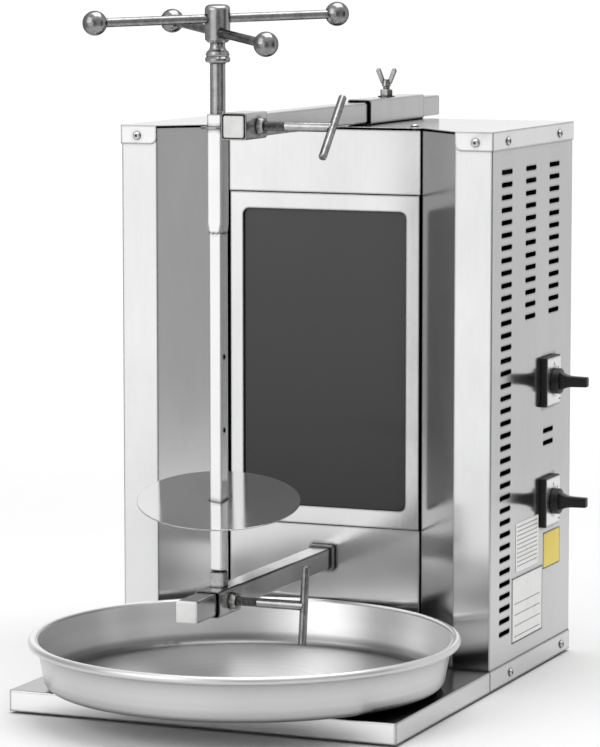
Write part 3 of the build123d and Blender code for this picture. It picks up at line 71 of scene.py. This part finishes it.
# ---- node helpers ------------------------------------------------------------------------
class Graph:
    """A material's node tree with short calls for the nodes used below."""

    def __init__(self, name):
        self.material = bpy.data.materials.new(name)
        self.material.use_nodes = True
        self.tree = self.material.node_tree
        self.tree.nodes.clear()
        self.output = self.tree.nodes.new("ShaderNodeOutputMaterial")
        self.shader = self.tree.nodes.new("ShaderNodeBsdfPrincipled")
        self.tree.links.new(self.shader.outputs[0], self.output.inputs["Surface"])
        self.place = self.add("ShaderNodeTexCoord").outputs["Object"]

    def add(self, kind, **values):
        """A new node, with each value set on its property or else on its input of that name."""
        node = self.tree.nodes.new(kind)
        for key, value in values.items():
            if hasattr(node, key):
                setattr(node, key, value)
            else:
                node.inputs[key.replace("_", " ")].default_value = value
        return node

    def link(self, source, target):
        """Joins an output to an input."""
        self.tree.links.new(source, target)

    def set(self, **values):
        """Constant values on the shader's own sockets."""
        for key, value in values.items():
            self.shader.inputs[key.replace("_", " ")].default_value = value

    def noise(self, scale, stretch=(1, 1, 1), detail=3.0, roughness=0.55):
        """Noise in object space; stretch below 1 draws it out along that axis."""
        mapping = self.add("ShaderNodeMapping")
        mapping.inputs["Scale"].default_value = stretch
        self.link(self.place, mapping.inputs["Vector"])
        noise = self.add("ShaderNodeTexNoise", Scale=scale, Detail=detail, Roughness=roughness)
        self.link(mapping.outputs[0], noise.inputs["Vector"])
        return noise.outputs["Fac"]

    def spread(self, source, low, high, start=0.3, end=0.7):
        """The source's start..end range as low..high."""
        node = self.add("ShaderNodeMapRange")
        node.inputs["From Min"].default_value = start
        node.inputs["From Max"].default_value = end
        node.inputs["To Min"].default_value = low
        node.inputs["To Max"].default_value = high
        self.link(source, node.inputs["Value"])
        return node.outputs["Result"]

    def combine(self, operation, a, b):
        """A maths node on two values, each a number or an output."""
        node = self.add("ShaderNodeMath", operation=operation)
        for value, socket in ((a, node.inputs[0]), (b, node.inputs[1])):
            if isinstance(value, (int, float)):
                socket.default_value = value
            else:
                self.link(value, socket)
        return node.outputs[0]

    def opposite(self, factor):
        """1 minus the factor."""
        return self.combine("SUBTRACT", 1.0, factor)

    def weigh(self, a, share_a, b, share_b):
        """The sum of two sources, each times its share."""
        first, second = self.combine("MULTIPLY", a, share_a), self.combine("MULTIPLY", b, share_b)
        return self.combine("ADD", first, second)

    def colour_mix(self, **values):
        """A colour mix node, with its two colour inputs and its colour output."""
        node = self.add("ShaderNodeMix", data_type="RGBA", **values)
        first, second = [s for s in node.inputs if s.type == "RGBA"]
        result = [s for s in node.outputs if s.type == "RGBA"][0]
        return node, first, second, result

    def tint(self, factor, dark, light):
        """A colour between dark and light by the factor."""
        node, first, second, result = self.colour_mix()
        first.default_value = (*dark, 1)
        second.default_value = (*light, 1)
        self.link(factor, node.inputs["Factor"])
        self.link(result, self.shader.inputs["Base Color"])
        return result

    def bump(self, height, distance, strength=1.0):
        """Adds the height as fine relief over what the normal already has."""
        node = self.add("ShaderNodeBump", Distance=distance, Strength=strength)
        previous = self.shader.inputs["Normal"]
        if previous.is_linked:
            self.link(previous.links[0].from_socket, node.inputs["Normal"])
        self.link(height, node.inputs["Height"])
        self.link(node.outputs[0], self.shader.inputs["Normal"])

    def soft_edges(self, radius):
        """Rounds the shading of sharp edges, as a deburred edge catches light."""
        node = self.add("ShaderNodeBevel", samples=4, Radius=radius)
        self.link(node.outputs[0], self.shader.inputs["Normal"])

    def painted_crevice_shade(self, distance):
        """Mask for painted shade: 1 in the open, falling to 0 where surfaces meet within the distance,
        from ambient occlusion.
        """
        node = self.add("ShaderNodeAmbientOcclusion", samples=4, Distance=distance)
        return self.spread(node.outputs["AO"], 0.0, 1.0, 0.5, 0.95)

    def outside_mask(self):
        """Mask for painted shade inside the cabinet: 1 outside the cabinet and in its front recess, 0
        inside its walls.
        """
        result = None
        split = self.add("ShaderNodeSeparateXYZ")
        self.link(self.place, split.inputs[0])
        for axis in range(3):
            low = self.combine("LESS_THAN", split.outputs[axis], CABINET_LOW[axis])
            high = self.combine("GREATER_THAN", split.outputs[axis], CABINET_HIGH[axis])
            both = self.combine("MAXIMUM", low, high)
            result = both if result is None else self.combine("MAXIMUM", result, both)
        side = self.combine("ADD", self.combine("ABSOLUTE", split.outputs[0], 0), split.outputs[1])
        between = self.combine("LESS_THAN", side, RECESS_SIDES)
        before = self.combine("LESS_THAN", split.outputs[1], RECESS_BACK)
        recess = self.combine("MULTIPLY", between, before)
        return self.combine("MAXIMUM", result, recess)

    def shade(self, colour, factor, darkest):
        """Multiplies the base colour by darkest..1 along the factor."""
        node, first, second, result = self.colour_mix(blend_type="MULTIPLY")
        node.inputs["Factor"].default_value = 1.0
        grey = self.add("ShaderNodeCombineColor")
        level = self.spread(factor, darkest, 1.0, 0.0, 1.0)
        for socket in grey.inputs:
            self.link(level, socket)
        self.link(colour, first)
        self.link(grey.outputs[0], second)
        self.link(result, self.shader.inputs["Base Color"])
        return result

    def facing(self, axis):
        """0 on faces that look along the axis, either way, and 1 on the rest: the mask for painted
        shade by which way a face looks.
        """
        split = self.add("ShaderNodeSeparateXYZ")
        self.link(self.add("ShaderNodeNewGeometry").outputs["True Normal"], split.inputs[0])
        return self.spread(self.combine("ABSOLUTE", split.outputs[axis], 0), 1.0, 0.0, 0.6, 0.9)

    def painted_edge_shade(self, radius):
        """Mask for painted dark lines of shade along folds and edges: 1 on folds and edges, outer and
        inner, falling to 0 the radius away.
        """
        bevel = self.add("ShaderNodeBevel", samples=4, Radius=radius)
        normal = self.add("ShaderNodeNewGeometry").outputs["Normal"]
        dot = self.add("ShaderNodeVectorMath", operation="DOT_PRODUCT")
        self.link(bevel.outputs[0], dot.inputs[0])
        self.link(normal, dot.inputs[1])
        return self.spread(dot.outputs["Value"], 1.0, 0.0, 0.92, 0.992)


# ---- finishes ----------------------------------------------------------------------------
EDGE_TINT = (0.35, 0.35, 0.35, 1)          # what turned steel reflects at a grazing angle
DRAW = 0.012                               # noise stretched along the grain by 1 / DRAW
GRAIN = {"X": (DRAW, 1, 1), "Y": (1, DRAW, 1), "Z": (1, 1, DRAW)}
GRAIN_AXIS = {"X": (1, 0, 0), "Y": (0, 1, 0), "Z": (0, 0, 1)}
FOLD_WIDTH = 0.0032                        # how far the painted dark line of shade along a fold reaches
PAN_CORNER_AT = 0.2230                     # radius of the corner between the pan's floor and wall, where a dark ring of shade is painted
# stickers on the right side, as (low y, low z, high y, high z)
FRAMED_LABEL = (0.0863, 0.0455, 0.1960, 0.1240)
YELLOW_LABEL = (0.2000, 0.1175, 0.2605, 0.1615)
RULED_AREA = (0.1030, 0.1330, 0.1760, 0.1835)
FORM_AREA = (0.0950, 0.0520, 0.1870, 0.1000)
FRAME_LINE = 0.0020
YELLOW_LINE = 0.0014
RULE_LINE = 0.0014
RULE_SPACING = 0.0052
FORM_SPACING = 0.013
RULE_STRENGTH = 0.75
INK_SHADE = 0.03
# the cabinet's hollow, where shade is painted, and the recess at its front that lies outside it
CABINET_LOW = Vector((-0.2334, 0.0105, 0.0285))
CABINET_HIGH = Vector((0.2334, 0.2995, 0.6515))
RECESS_BACK = 0.0732
RECESS_SIDES = 0.1975                      # the largest |x| + y inside the recess


def sheet(name, grain, dark, light, rough=(0.12, 0.18), edge=0.0014, fold=0.24, inside=True,
          flat=1.0, side=1.0, tint=1.0, wave=0.0):
    """Rolled stainless sheet: fine grain, faint smears, painted dark lines of shade along folds, and
    painted shade in crevices and inside the cabinet.

    fold, flat and side are how dark the painted shade goes along the folds, on the level faces and on
    the left and right faces.
    """
    g = Graph(name)
    g.set(Metallic=1.0, Anisotropic=0.3, Anisotropic_Rotation=0.25, Specular_Tint=(tint, tint, tint, 1))
    axis = g.add("ShaderNodeCombineXYZ")
    for socket, value in zip(axis.inputs, GRAIN_AXIS[grain]):
        socket.default_value = value
    g.link(axis.outputs[0], g.shader.inputs["Tangent"])
    if edge:
        g.soft_edges(edge)
    fine = g.noise(2600, GRAIN[grain], detail=2)
    lines = g.noise(900, GRAIN[grain], detail=3, roughness=0.6)
    smear = g.noise(6.0, (1, 1, 0.5), detail=5, roughness=0.6)
    mixed = g.weigh(lines, 0.15, smear, 0.85)
    colour = g.tint(g.spread(mixed, 0.0, 1.0, 0.36, 0.64), dark, light)
    # painted shade in crevices and where parts meet
    colour = g.shade(colour, g.painted_crevice_shade(0.006), 0.10)
    # painted dark lines of shade along folds and edges
    if fold < 1:
        colour = g.shade(colour, g.opposite(g.painted_edge_shade(FOLD_WIDTH)), fold)
    # painted shade on the faces inside the cabinet
    if inside:
        colour = g.shade(colour, g.outside_mask(), 0.10)
    # painted shade on the level faces, as dark as flat
    if flat < 1:
        colour = g.shade(colour, g.facing("Z"), flat)
    # painted shade on the faces that look left and right, as dark as side
    if side < 1:
        g.shade(colour, g.facing("X"), side)
    g.link(g.spread(mixed, *rough, 0.36, 0.64), g.shader.inputs["Roughness"])
    g.bump(fine, 0.00002, 0.2)
    g.bump(lines, 0.00003, 0.05)
    g.bump(smear, 0.0006, 0.12)
    if wave:
        g.bump(g.noise(9.0, detail=1), 0.004, wave)
    return g.material


def mirror(name, dark, light, rough, metal=1.0, fold=0.5):
    """Polished sheet: nearly a mirror, slightly wavy, with hazy wiping marks, and painted shade in
    crevices and along its edges.
    """
    g = Graph(name)
    g.set(Metallic=metal)
    haze = g.noise(9.0, (1, 1, 0.35), detail=6, roughness=0.62)
    wave = g.noise(3.0, (1, 1, 0.5), detail=1)
    hair = g.noise(900, (1, 1, 0.03), detail=2)
    colour = g.tint(g.spread(haze, 0.0, 1.0), dark, light)
    # painted shade in crevices and where parts meet
    colour = g.shade(colour, g.painted_crevice_shade(0.004), 0.12)
    # painted dark lines of shade along the edges
    g.shade(colour, g.opposite(g.painted_edge_shade(0.001)), fold)
    g.link(g.spread(haze, *rough), g.shader.inputs["Roughness"])
    g.bump(wave, 0.0012, 0.25)
    g.bump(hair, 0.00001, 0.3)
    return g.material


def turned(name, dark, light, rough, scale=700, edge=0.0004):
    """Turned or cast steel: fine all-over texture, darker pits, and painted shade in crevices and along
    edges.
    """
    g = Graph(name)
    g.set(Metallic=1.0, Specular_Tint=EDGE_TINT)
    if edge:
        g.soft_edges(edge)
    grain = g.noise(scale, detail=4, roughness=0.7)
    cloud = g.noise(60, detail=4)
    pits = g.noise(240, detail=3, roughness=0.8)
    mixed = g.weigh(cloud, 0.6, pits, 0.4)
    colour = g.tint(g.spread(mixed, 0.0, 1.0, 0.34, 0.64), dark, light)
    # painted shade in crevices and where parts meet
    colour = g.shade(colour, g.painted_crevice_shade(0.003), 0.15)
    # painted dark lines of shade along the edges
    g.shade(colour, g.opposite(g.painted_edge_shade(0.0012)), 0.4)
    g.link(g.spread(cloud, *rough), g.shader.inputs["Roughness"])
    g.bump(grain, 0.00004, 0.4)
    g.bump(g.spread(pits, 0.0, 1.0, 0.2, 0.42), 0.0001, 0.5)
    return g.material


def spun(name, dark, light, outside=1.0, rough=(0.32, 0.40)):
    """Spun aluminium: rings of lathe marks, broad smears, painted shade in crevices, a painted dark
    ring of shade in the corner, and painted shade making the outside darker.
    """
    g = Graph(name)
    g.set(Metallic=1.0, Anisotropic=0.6, Anisotropic_Rotation=0.25)
    tangent = g.add("ShaderNodeTangent", direction_type="RADIAL", axis="Z")
    g.link(tangent.outputs[0], g.shader.inputs["Tangent"])
    box_low, box_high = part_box("pan_wall")
    centre = (box_low + box_high) / 2
    shift = g.add("ShaderNodeVectorMath", operation="SUBTRACT")
    shift.inputs[1].default_value = (centre.x, centre.y, 0)
    g.link(g.place, shift.inputs[0])
    flat = g.add("ShaderNodeVectorMath", operation="MULTIPLY")
    flat.inputs[1].default_value = (1, 1, 0)
    g.link(shift.outputs[0], flat.inputs[0])
    length = g.add("ShaderNodeVectorMath", operation="LENGTH")
    g.link(flat.outputs[0], length.inputs[0])
    split = g.add("ShaderNodeSeparateXYZ")
    g.link(shift.outputs[0], split.inputs[0])
    ring_place = g.add("ShaderNodeCombineXYZ")
    g.link(length.outputs["Value"], ring_place.inputs[0])
    g.link(split.outputs["Z"], ring_place.inputs[1])
    rings = g.add("ShaderNodeTexNoise", Scale=900.0, Detail=3.0, Roughness=0.7)
    g.link(ring_place.outputs[0], rings.inputs["Vector"])
    bands = g.add("ShaderNodeTexNoise", Scale=90.0, Detail=3.0)
    g.link(ring_place.outputs[0], bands.inputs["Vector"])
    smear = g.noise(5.0, detail=4, roughness=0.55)
    mix = g.weigh(bands.outputs["Fac"], 0.5, smear, 0.5)
    colour = g.tint(g.spread(mix, 0.0, 1.0, 0.3, 0.7), dark, light)
    # painted shade in crevices and where the pan meets the tray and rails
    colour = g.shade(colour, g.painted_crevice_shade(0.022), 0.25)
    # painted dark ring of shade in the corner between the pan's floor and wall
    off_corner = g.combine("ABSOLUTE", g.combine("SUBTRACT", length.outputs["Value"], PAN_CORNER_AT), 0)
    above_floor = g.combine("SUBTRACT", split.outputs["Z"], box_low.z)
    clear = g.combine("MAXIMUM", g.spread(off_corner, 0.0, 1.0, 0.0025, 0.0070),
                      g.spread(above_floor, 0.0, 1.0, 0.008, 0.016))
    colour = g.shade(colour, clear, 0.40)
    # painted shade on the outside of the wall
    if outside < 1:
        outward = g.add("ShaderNodeVectorMath", operation="DOT_PRODUCT")
        away = g.add("ShaderNodeVectorMath", operation="NORMALIZE")
        g.link(flat.outputs[0], away.inputs[0])
        g.link(away.outputs[0], outward.inputs[0])
        g.link(g.add("ShaderNodeNewGeometry").outputs["Normal"], outward.inputs[1])
        g.shade(colour, g.spread(outward.outputs["Value"], 1.0, 0.0, 0.2, 0.7), outside)
    g.link(g.spread(mix, *rough, 0.3, 0.7), g.shader.inputs["Roughness"])
    g.bump(rings.outputs["Fac"], 0.00003, 0.35)
    g.bump(bands.outputs["Fac"], 0.0001, 0.08)
    return g.material


def moulded(name, dark, light, rough=(0.35, 0.5), grain=1400, edge=0.0005, shine=0.5):
    """Moulded plastic or rubber with a fine spark texture and painted shade in crevices."""
    g = Graph(name)
    g.set(Specular_IOR_Level=shine)
    if edge:
        g.soft_edges(edge)
    texture = g.noise(grain, detail=3, roughness=0.7)
    cloud = g.noise(25, detail=4)
    colour = g.tint(g.spread(cloud, 0.0, 1.0), dark, light)
    # painted shade in crevices and where parts meet
    g.shade(colour, g.painted_crevice_shade(0.003), 0.25)
    g.link(g.spread(cloud, *rough), g.shader.inputs["Roughness"])
    g.bump(texture, 0.00003, 0.5)
    return g.material


def dark_glass(name):
    """Glass ceramic: deep grey, glossy, with a trace of wiping haze, a painted gradient of reflected
    light that makes it lighter toward the top, and painted shade in crevices.
    """
    g = Graph(name)
    g.set(IOR=1.5)
    haze = g.noise(5.0, (1, 1, 0.4), detail=6, roughness=0.6)
    wave = g.noise(2.2, detail=1)
    split = g.add("ShaderNodeSeparateXYZ")
    g.link(g.place, split.inputs[0])
    low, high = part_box("glass_pane")
    # painted gradient of reflected light: lighter toward the top
    rise = g.spread(split.outputs["Z"], 0.0, 1.0, low.z, high.z)
    mixed = g.weigh(haze, 0.25, rise, 0.75)
    colour = g.tint(mixed, (0.004, 0.004, 0.0045), (0.044, 0.044, 0.045))
    # painted shade in crevices and where parts meet
    g.shade(colour, g.painted_crevice_shade(0.004), 0.1)
    g.link(g.spread(haze, 0.08, 0.16), g.shader.inputs["Roughness"])
    g.bump(wave, 0.0008, 0.1)
    return g.material


def fibre(name, dark, light, scale=500):
    """Woven or pressed mineral fibre, with painted shade on the parts inside the cabinet."""
    g = Graph(name)
    g.set(Roughness=0.92, Sheen_Weight=0.3)
    threads = g.noise(scale, (1, 1, 0.2), detail=4, roughness=0.75)
    cross = g.noise(scale, (0.2, 1, 1), detail=4, roughness=0.75)
    both = g.combine("MULTIPLY", threads, cross)
    colour = g.tint(g.spread(both, 0.0, 1.0, 0.12, 0.4), dark, light)
    # painted shade on the parts inside the cabinet
    g.shade(colour, g.outside_mask(), 0.3)
    g.bump(both, 0.0004, 0.8)
    return g.material


def inside_box(g, across, up, box, inset=0.0):
    """1 within the flat box (low across, low up, high across, high up), 0 outside."""
    low_across, low_up, high_across, high_up = box
    tests = (
        g.combine("GREATER_THAN", across, low_across + inset),
        g.combine("LESS_THAN", across, high_across - inset),
        g.combine("GREATER_THAN", up, low_up + inset),
        g.combine("LESS_THAN", up, high_up - inset),
    )
    result = tests[0]
    for test in tests[1:]:
        result = g.combine("MULTIPLY", result, test)
    return result


def ruled(g, across, up, box, spacing, thickness):
    """Thin level rules across the box, as on a blank form."""
    phase = g.combine("FRACT", g.combine("DIVIDE", up, spacing), 0)
    line = g.combine("LESS_THAN", phase, thickness / spacing)
    return g.combine("MULTIPLY", line, inside_box(g, across, up, box))


def blank_labels(name):
    """The three stickers on the right side: a framed form, a ruled one and a yellow one, all blank."""
    g = Graph(name)
    g.set(Specular_IOR_Level=0.5)
    split = g.add("ShaderNodeSeparateXYZ")
    g.link(g.place, split.inputs[0])
    across, up = split.outputs["Y"], split.outputs["Z"]
    cloud = g.noise(40, detail=4)
    fibres = g.noise(1500, detail=3, roughness=0.7)
    paper = g.tint(g.spread(cloud, 0.0, 1.0), (0.80, 0.80, 0.79), (0.88, 0.88, 0.87))
    yellow, first, second, colour = g.colour_mix()
    g.link(inside_box(g, across, up, YELLOW_LABEL), yellow.inputs["Factor"])
    g.link(paper, first)
    second.default_value = (0.86, 0.66, 0.03, 1)
    frame_line = g.combine("SUBTRACT", inside_box(g, across, up, FRAMED_LABEL),
                           inside_box(g, across, up, FRAMED_LABEL, FRAME_LINE))
    yellow_line = g.combine("SUBTRACT", inside_box(g, across, up, YELLOW_LABEL),
                            inside_box(g, across, up, YELLOW_LABEL, YELLOW_LINE))
    ink = g.combine("MAXIMUM", frame_line, yellow_line)
    for box, spacing in ((RULED_AREA, RULE_SPACING), (FORM_AREA, FORM_SPACING)):
        rules = g.combine("MULTIPLY", ruled(g, across, up, box, spacing, RULE_LINE), RULE_STRENGTH)
        ink = g.combine("MAXIMUM", ink, rules)
    g.shade(colour, g.opposite(ink), INK_SHADE)
    g.link(g.spread(cloud, 0.25, 0.38), g.shader.inputs["Roughness"])
    g.bump(fibres, 0.00001, 0.4)
    return g.material


def make_materials():
    """Every finish, by the name that NODE_MATERIALS uses."""
    steel_dark, steel_light = (0.66, 0.66, 0.665), (0.76, 0.76, 0.76)
    tube_dark, tube_light = (0.42, 0.42, 0.425), (0.52, 0.52, 0.52)
    return {
        "steel_upright": sheet("steel_upright", "Z", steel_dark, steel_light, rough=(0.16, 0.22)),
        "steel_side": sheet("steel_side", "Z", steel_dark, steel_light, side=0.75),
        "steel_across": sheet("steel_across", "X", (0.72, 0.72, 0.725), (0.80, 0.80, 0.80),
                              flat=0.78, wave=0.12),
        "steel_tray": sheet("steel_tray", "X", (0.86, 0.86, 0.865), (0.94, 0.94, 0.94),
                            inside=False, flat=0.62, side=0.85, tint=0.78),
        "tube_along": sheet("tube_along", "Y", tube_dark, tube_light,
                            rough=(0.16, 0.26), fold=0.25, inside=False),
        "mirror_steel": mirror("mirror_steel", (0.60, 0.60, 0.605), (0.68, 0.68, 0.68),
                               rough=(0.13, 0.19)),
        "plate_mirror": mirror("plate_mirror", (0.44, 0.44, 0.445), (0.49, 0.49, 0.49),
                               rough=(0.05, 0.09), metal=0.9, fold=0.15),
        "bright_bar": sheet("bright_bar", "Z", (0.72, 0.72, 0.725), (0.84, 0.84, 0.84),
                            rough=(0.08, 0.16), edge=0.0007, inside=False),
        "turned_steel": turned("turned_steel", (0.30, 0.30, 0.30), (0.44, 0.44, 0.44),
                               rough=(0.18, 0.30)),
        "cast_steel": turned("cast_steel", (0.18, 0.18, 0.18), (0.34, 0.34, 0.34),
                             rough=(0.12, 0.24), scale=500),
        "zinc": turned("zinc", (0.24, 0.24, 0.235), (0.42, 0.42, 0.41), rough=(0.18, 0.30), scale=1100),
        "screw_steel": turned("screw_steel", (0.52, 0.52, 0.52), (0.70, 0.70, 0.70),
                              rough=(0.16, 0.26), scale=1300),
        "pan": spun("pan", (0.80, 0.80, 0.805), (0.92, 0.92, 0.92), outside=0.72),
        "pan_base": spun("pan_base", (0.50, 0.50, 0.505), (0.66, 0.66, 0.66), rough=(0.26, 0.34)),
        "glass": dark_glass("glass"),
        "seal": fibre("seal", (0.10, 0.095, 0.09), (0.22, 0.21, 0.2)),
        "board": fibre("board", (0.50, 0.47, 0.40), (0.74, 0.71, 0.62), scale=220),
        "galvanised": sheet("galvanised", "X", (0.42, 0.44, 0.45), (0.60, 0.62, 0.63),
                            rough=(0.3, 0.42)),
        "element": turned("element", (0.08, 0.075, 0.07), (0.20, 0.18, 0.17),
                          rough=(0.45, 0.6), scale=900, edge=0),
        "black": moulded("black", (0.005, 0.005, 0.0055), (0.012, 0.012, 0.013), shine=0.35),
        "white": moulded("white", (0.70, 0.70, 0.68), (0.86, 0.86, 0.85), rough=(0.25, 0.4)),
        "rubber": moulded("rubber", (0.010, 0.010, 0.010), (0.02, 0.02, 0.02),
                          rough=(0.6, 0.8), grain=600),
        "face": sheet("face", "Y", (0.78, 0.78, 0.78), (0.88, 0.88, 0.88),
                      rough=(0.28, 0.4), edge=0, inside=False),
        "label": blank_labels("label"),
        "ink": moulded("ink", (0.02, 0.02, 0.02), (0.05, 0.05, 0.05),
                       rough=(0.3, 0.45), grain=2000, edge=0),
    }


NODE_MATERIALS = {
    "steel_upright": ("front_top_panel", "glass_frame", "front_lower_panel"),
    "steel_side": ("left_side_panel", "right_side_panel"),
    "steel_across": ("top_cover", "back_panel"),
    "steel_tray": ("base_tray", "cabinet_base"),
    "tube_along": ("lower_arm", "upper_arm", "lower_socket", "upper_socket",
                   "upper_collar", "lower_collar"),
    "mirror_steel": ("right_reflector", "left_reflector"),
    "plate_mirror": ("meat_plate",),
    "bright_bar": ("spindle_bar", "drive_sleeve"),
    "cast_steel": ("handle_rods", "handle_balls", "upper_clamp_bar", "lower_clamp_bar"),
    "turned_steel": ("handle_shaft", "handle_hub", "plate_pin", "pivot_post", "guide_ring",
                     "upper_clamp_screw", "lower_clamp_screw"),
    "screw_steel": ("panel_screws",),
    "zinc": ("wing_screw", "wing_screw_nut", "upper_clamp_nut", "lower_clamp_nut"),
    "pan": ("pan_wall", "pan_rails"),
    "pan_base": ("pan_floor",),
    "glass": ("glass_pane",),
    "seal": ("glass_seal",),
    "board": ("insulation_board",),
    "galvanised": ("heat_box", "base_channels", "arm_bracket"),
    "element": ("heating_element_upper", "heating_element_lower"),
    "black": ("switch_housings", "switch_blocks", "knob_upper", "knob_lower", "cable_gland"),
    "white": ("terminal_block", "lower_arm_cap", "upper_arm_caps"),
    "rubber": ("rubber_feet",),
    "face": ("switch_plates",),
    "label": ("side_plates",),
}


def dress_nodes(materials):
    """Gives every CAD node its finish."""
    for name, nodes in NODE_MATERIALS.items():
        for node in nodes:
            for slot in NODES[node].material_slots:
                slot.material = materials[name]


# ---- added pieces ------------------------------------------------------------------------
SWITCH_Y = 0.2140
SWITCH_HEIGHTS = {"upper": 0.3453, "lower": 0.1994}
TICK_ANGLES = (-90, -45, 0, 45, 90)
TICK_START, TICK_END = 0.0190, 0.0228
TICK_WIDTH = 0.0011
TICK_HEIGHT = 0.00025
TOP_SHARE = 0.6                            # a tick's width at its top over that at its foot
SHOULDER_SHARE = 0.6                       # the height where its sides start to slope
CORNER_MARK_OFFSET = Vector((0.0185, -0.0235))
CORNER_MARK_LENGTH = 0.0040
CORNER_MARK_WIDTH = 0.0018


def add_bar(shape, start, end, width, height, face_x):
    """A bar with sloped sides lying on the plane x = face_x, from start to end in (y, z)."""
    start, end = Vector(start), Vector(end)
    along = (end - start).normalized()
    side = Vector((-along.y, along.x)) * (width / 2)
    rings = []
    for rise, share in ((-height / 2, 1.0), (height * SHOULDER_SHARE, 1.0), (height, TOP_SHARE)):
        corners = (start + side * share, end + side * share, end - side * share, start - side * share)
        rings.append([shape.verts.new((face_x + rise, c.x, c.y)) for c in corners])
    for lower, upper in zip(rings, rings[1:]):
        for k in range(4):
            shape.faces.new((lower[k], lower[(k + 1) % 4], upper[(k + 1) % 4], upper[k]))
    shape.faces.new(rings[-1])
    shape.faces.new(rings[0][::-1])


def make_switch_ticks(material):
    """Raised ticks round each knob and a short mark in the corner, without figures."""
    face_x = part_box("switch_plates")[1].x
    for name, height in SWITCH_HEIGHTS.items():
        shape = bmesh.new()
        centre = Vector((SWITCH_Y, height))
        for angle in TICK_ANGLES:
            turn = math.radians(angle)
            away = Vector((math.sin(turn), math.cos(turn)))
            start, end = centre + away * TICK_START, centre + away * TICK_END
            add_bar(shape, start, end, TICK_WIDTH, TICK_HEIGHT, face_x)
        corner = centre + CORNER_MARK_OFFSET
        end = corner + Vector((CORNER_MARK_LENGTH, 0))
        add_bar(shape, corner, end, CORNER_MARK_WIDTH, TICK_HEIGHT, face_x)
        bmesh.ops.recalc_face_normals(shape, faces=shape.faces)
        mesh = bpy.data.meshes.new("switch_ticks_" + name)
        shape.to_mesh(mesh)
        shape.free()
        mesh.materials.append(material)
        piece = bpy.data.objects.new("switch_ticks_" + name, mesh)
        bpy.context.scene.collection.objects.link(piece)
        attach(piece, "cabinet")


# ---- studio ------------------------------------------------------------------------------
FLOOR_RADIUS = 2.2
FADE_START, FADE_END = 0.55, 0.98          # shares of the floor's radius


def make_floor():
    """A wide pale floor under the feet that fades into the surround."""
    mesh = bpy.data.meshes.new("floor")
    shape = bmesh.new()
    bmesh.ops.create_circle(shape, cap_ends=True, segments=96, radius=FLOOR_RADIUS)
    shape.to_mesh(mesh)
    shape.free()
    floor = bpy.data.objects.new("floor", mesh)
    bpy.context.scene.collection.objects.link(floor)
    g = Graph("floor")
    g.set(Roughness=0.75, Specular_IOR_Level=0.2)
    cloud = g.noise(0.8, detail=3)
    g.tint(g.spread(cloud, 0.0, 1.0), (0.75, 0.75, 0.75), (0.77, 0.77, 0.77))
    length = g.add("ShaderNodeVectorMath", operation="LENGTH")
    g.link(g.place, length.inputs[0])
    fade_start, fade_end = FADE_START * FLOOR_RADIUS, FADE_END * FLOOR_RADIUS
    fade = g.spread(length.outputs["Value"], 1.0, 0.0, fade_start, fade_end)
    g.link(fade, g.shader.inputs["Alpha"])
    mesh.materials.append(g.material)


# Soft patches painted over the surround, one after another: direction,
# full inside this angle, gone at this angle (degrees), brightness.
PATCHES = (
    ((0.0, 0.0, 1.0), 10, 80, 0.90),
    ((0.91, -0.40, 0.0), 22, 50, 0.50),
    ((1.0, 0.15, 0.0), 10, 26, 0.08),
    ((0.38, -0.92, 0.05), 10, 32, 0.25),
    ((-0.96, -0.22, 0.0), 26, 48, 0.50),
    ((-0.27, -0.96, 0.0), 20, 34, 1.20),
    ((0.10, 1.0, 0.0), 48, 76, 0.86),
    ((-0.38, 0.92, 0.0), 20, 42, 1.04),
)
SURROUND_LEVEL = 0.5


def make_world():
    """A soft surround, its brightness set by the patches."""
    world = bpy.data.worlds.new("studio")
    world.use_nodes = True
    tree = world.node_tree
    direction = tree.nodes.new("ShaderNodeTexCoord").outputs["Generated"]
    level = None
    for axis, inner, outer, brightness in PATCHES:
        dot = tree.nodes.new("ShaderNodeVectorMath")
        dot.operation = "DOT_PRODUCT"
        dot.inputs[1].default_value = Vector(axis).normalized()
        tree.links.new(direction, dot.inputs[0])
        patch = tree.nodes.new("ShaderNodeMapRange")
        patch.interpolation_type = "SMOOTHSTEP"
        patch.inputs["From Min"].default_value = math.cos(math.radians(outer))
        patch.inputs["From Max"].default_value = math.cos(math.radians(inner))
        tree.links.new(dot.outputs["Value"], patch.inputs["Value"])
        mix = tree.nodes.new("ShaderNodeMix")
        mix.data_type = "FLOAT"
        numbers = [s for s in mix.inputs if s.type == "VALUE"]
        tree.links.new(patch.outputs["Result"], numbers[0])
        if level is None:
            numbers[1].default_value = SURROUND_LEVEL
        else:
            tree.links.new(level, numbers[1])
        numbers[2].default_value = brightness
        level = mix.outputs[0]
    background = tree.nodes["Background"]
    background.inputs["Color"].default_value = (1, 1, 1, 1)
    tree.links.new(level, background.inputs["Strength"])
    bpy.context.scene.world = world


def area_light(name, place, target, size, energy):
    """A rectangular lamp aimed at the target; size in metres, energy in watts."""
    data = bpy.data.lights.new(name, "AREA")
    data.shape = "RECTANGLE"
    data.size, data.size_y = size
    data.energy = energy
    light = bpy.data.objects.new(name, data)
    light.location = place
    aim = Vector(target) - Vector(place)
    light.rotation_mode = "QUATERNION"
    light.rotation_quaternion = aim.to_track_quat("-Z", "Y")
    bpy.context.scene.collection.objects.link(light)


# Soft boxes at the front left and above: name, place, aim, size, energy.
LAMPS = (
    ("key", (-1.9, -3.0, 2.4), (0, 0, 0.3), (3.0, 3.0), 41),
    ("top", (0.3, 0.4, 3.4), (0, 0, 0), (2.6, 2.6), 70),
)


def make_lights():
    """The lamps, and a plain view of their light."""
    for lamp in LAMPS:
        area_light(*lamp)
    bpy.context.scene.view_settings.view_transform = "Standard"


make_camera()
MATERIALS = make_materials()
dress_nodes(MATERIALS)
make_switch_ticks(MATERIALS["ink"])
make_floor()
make_world()
make_lights()
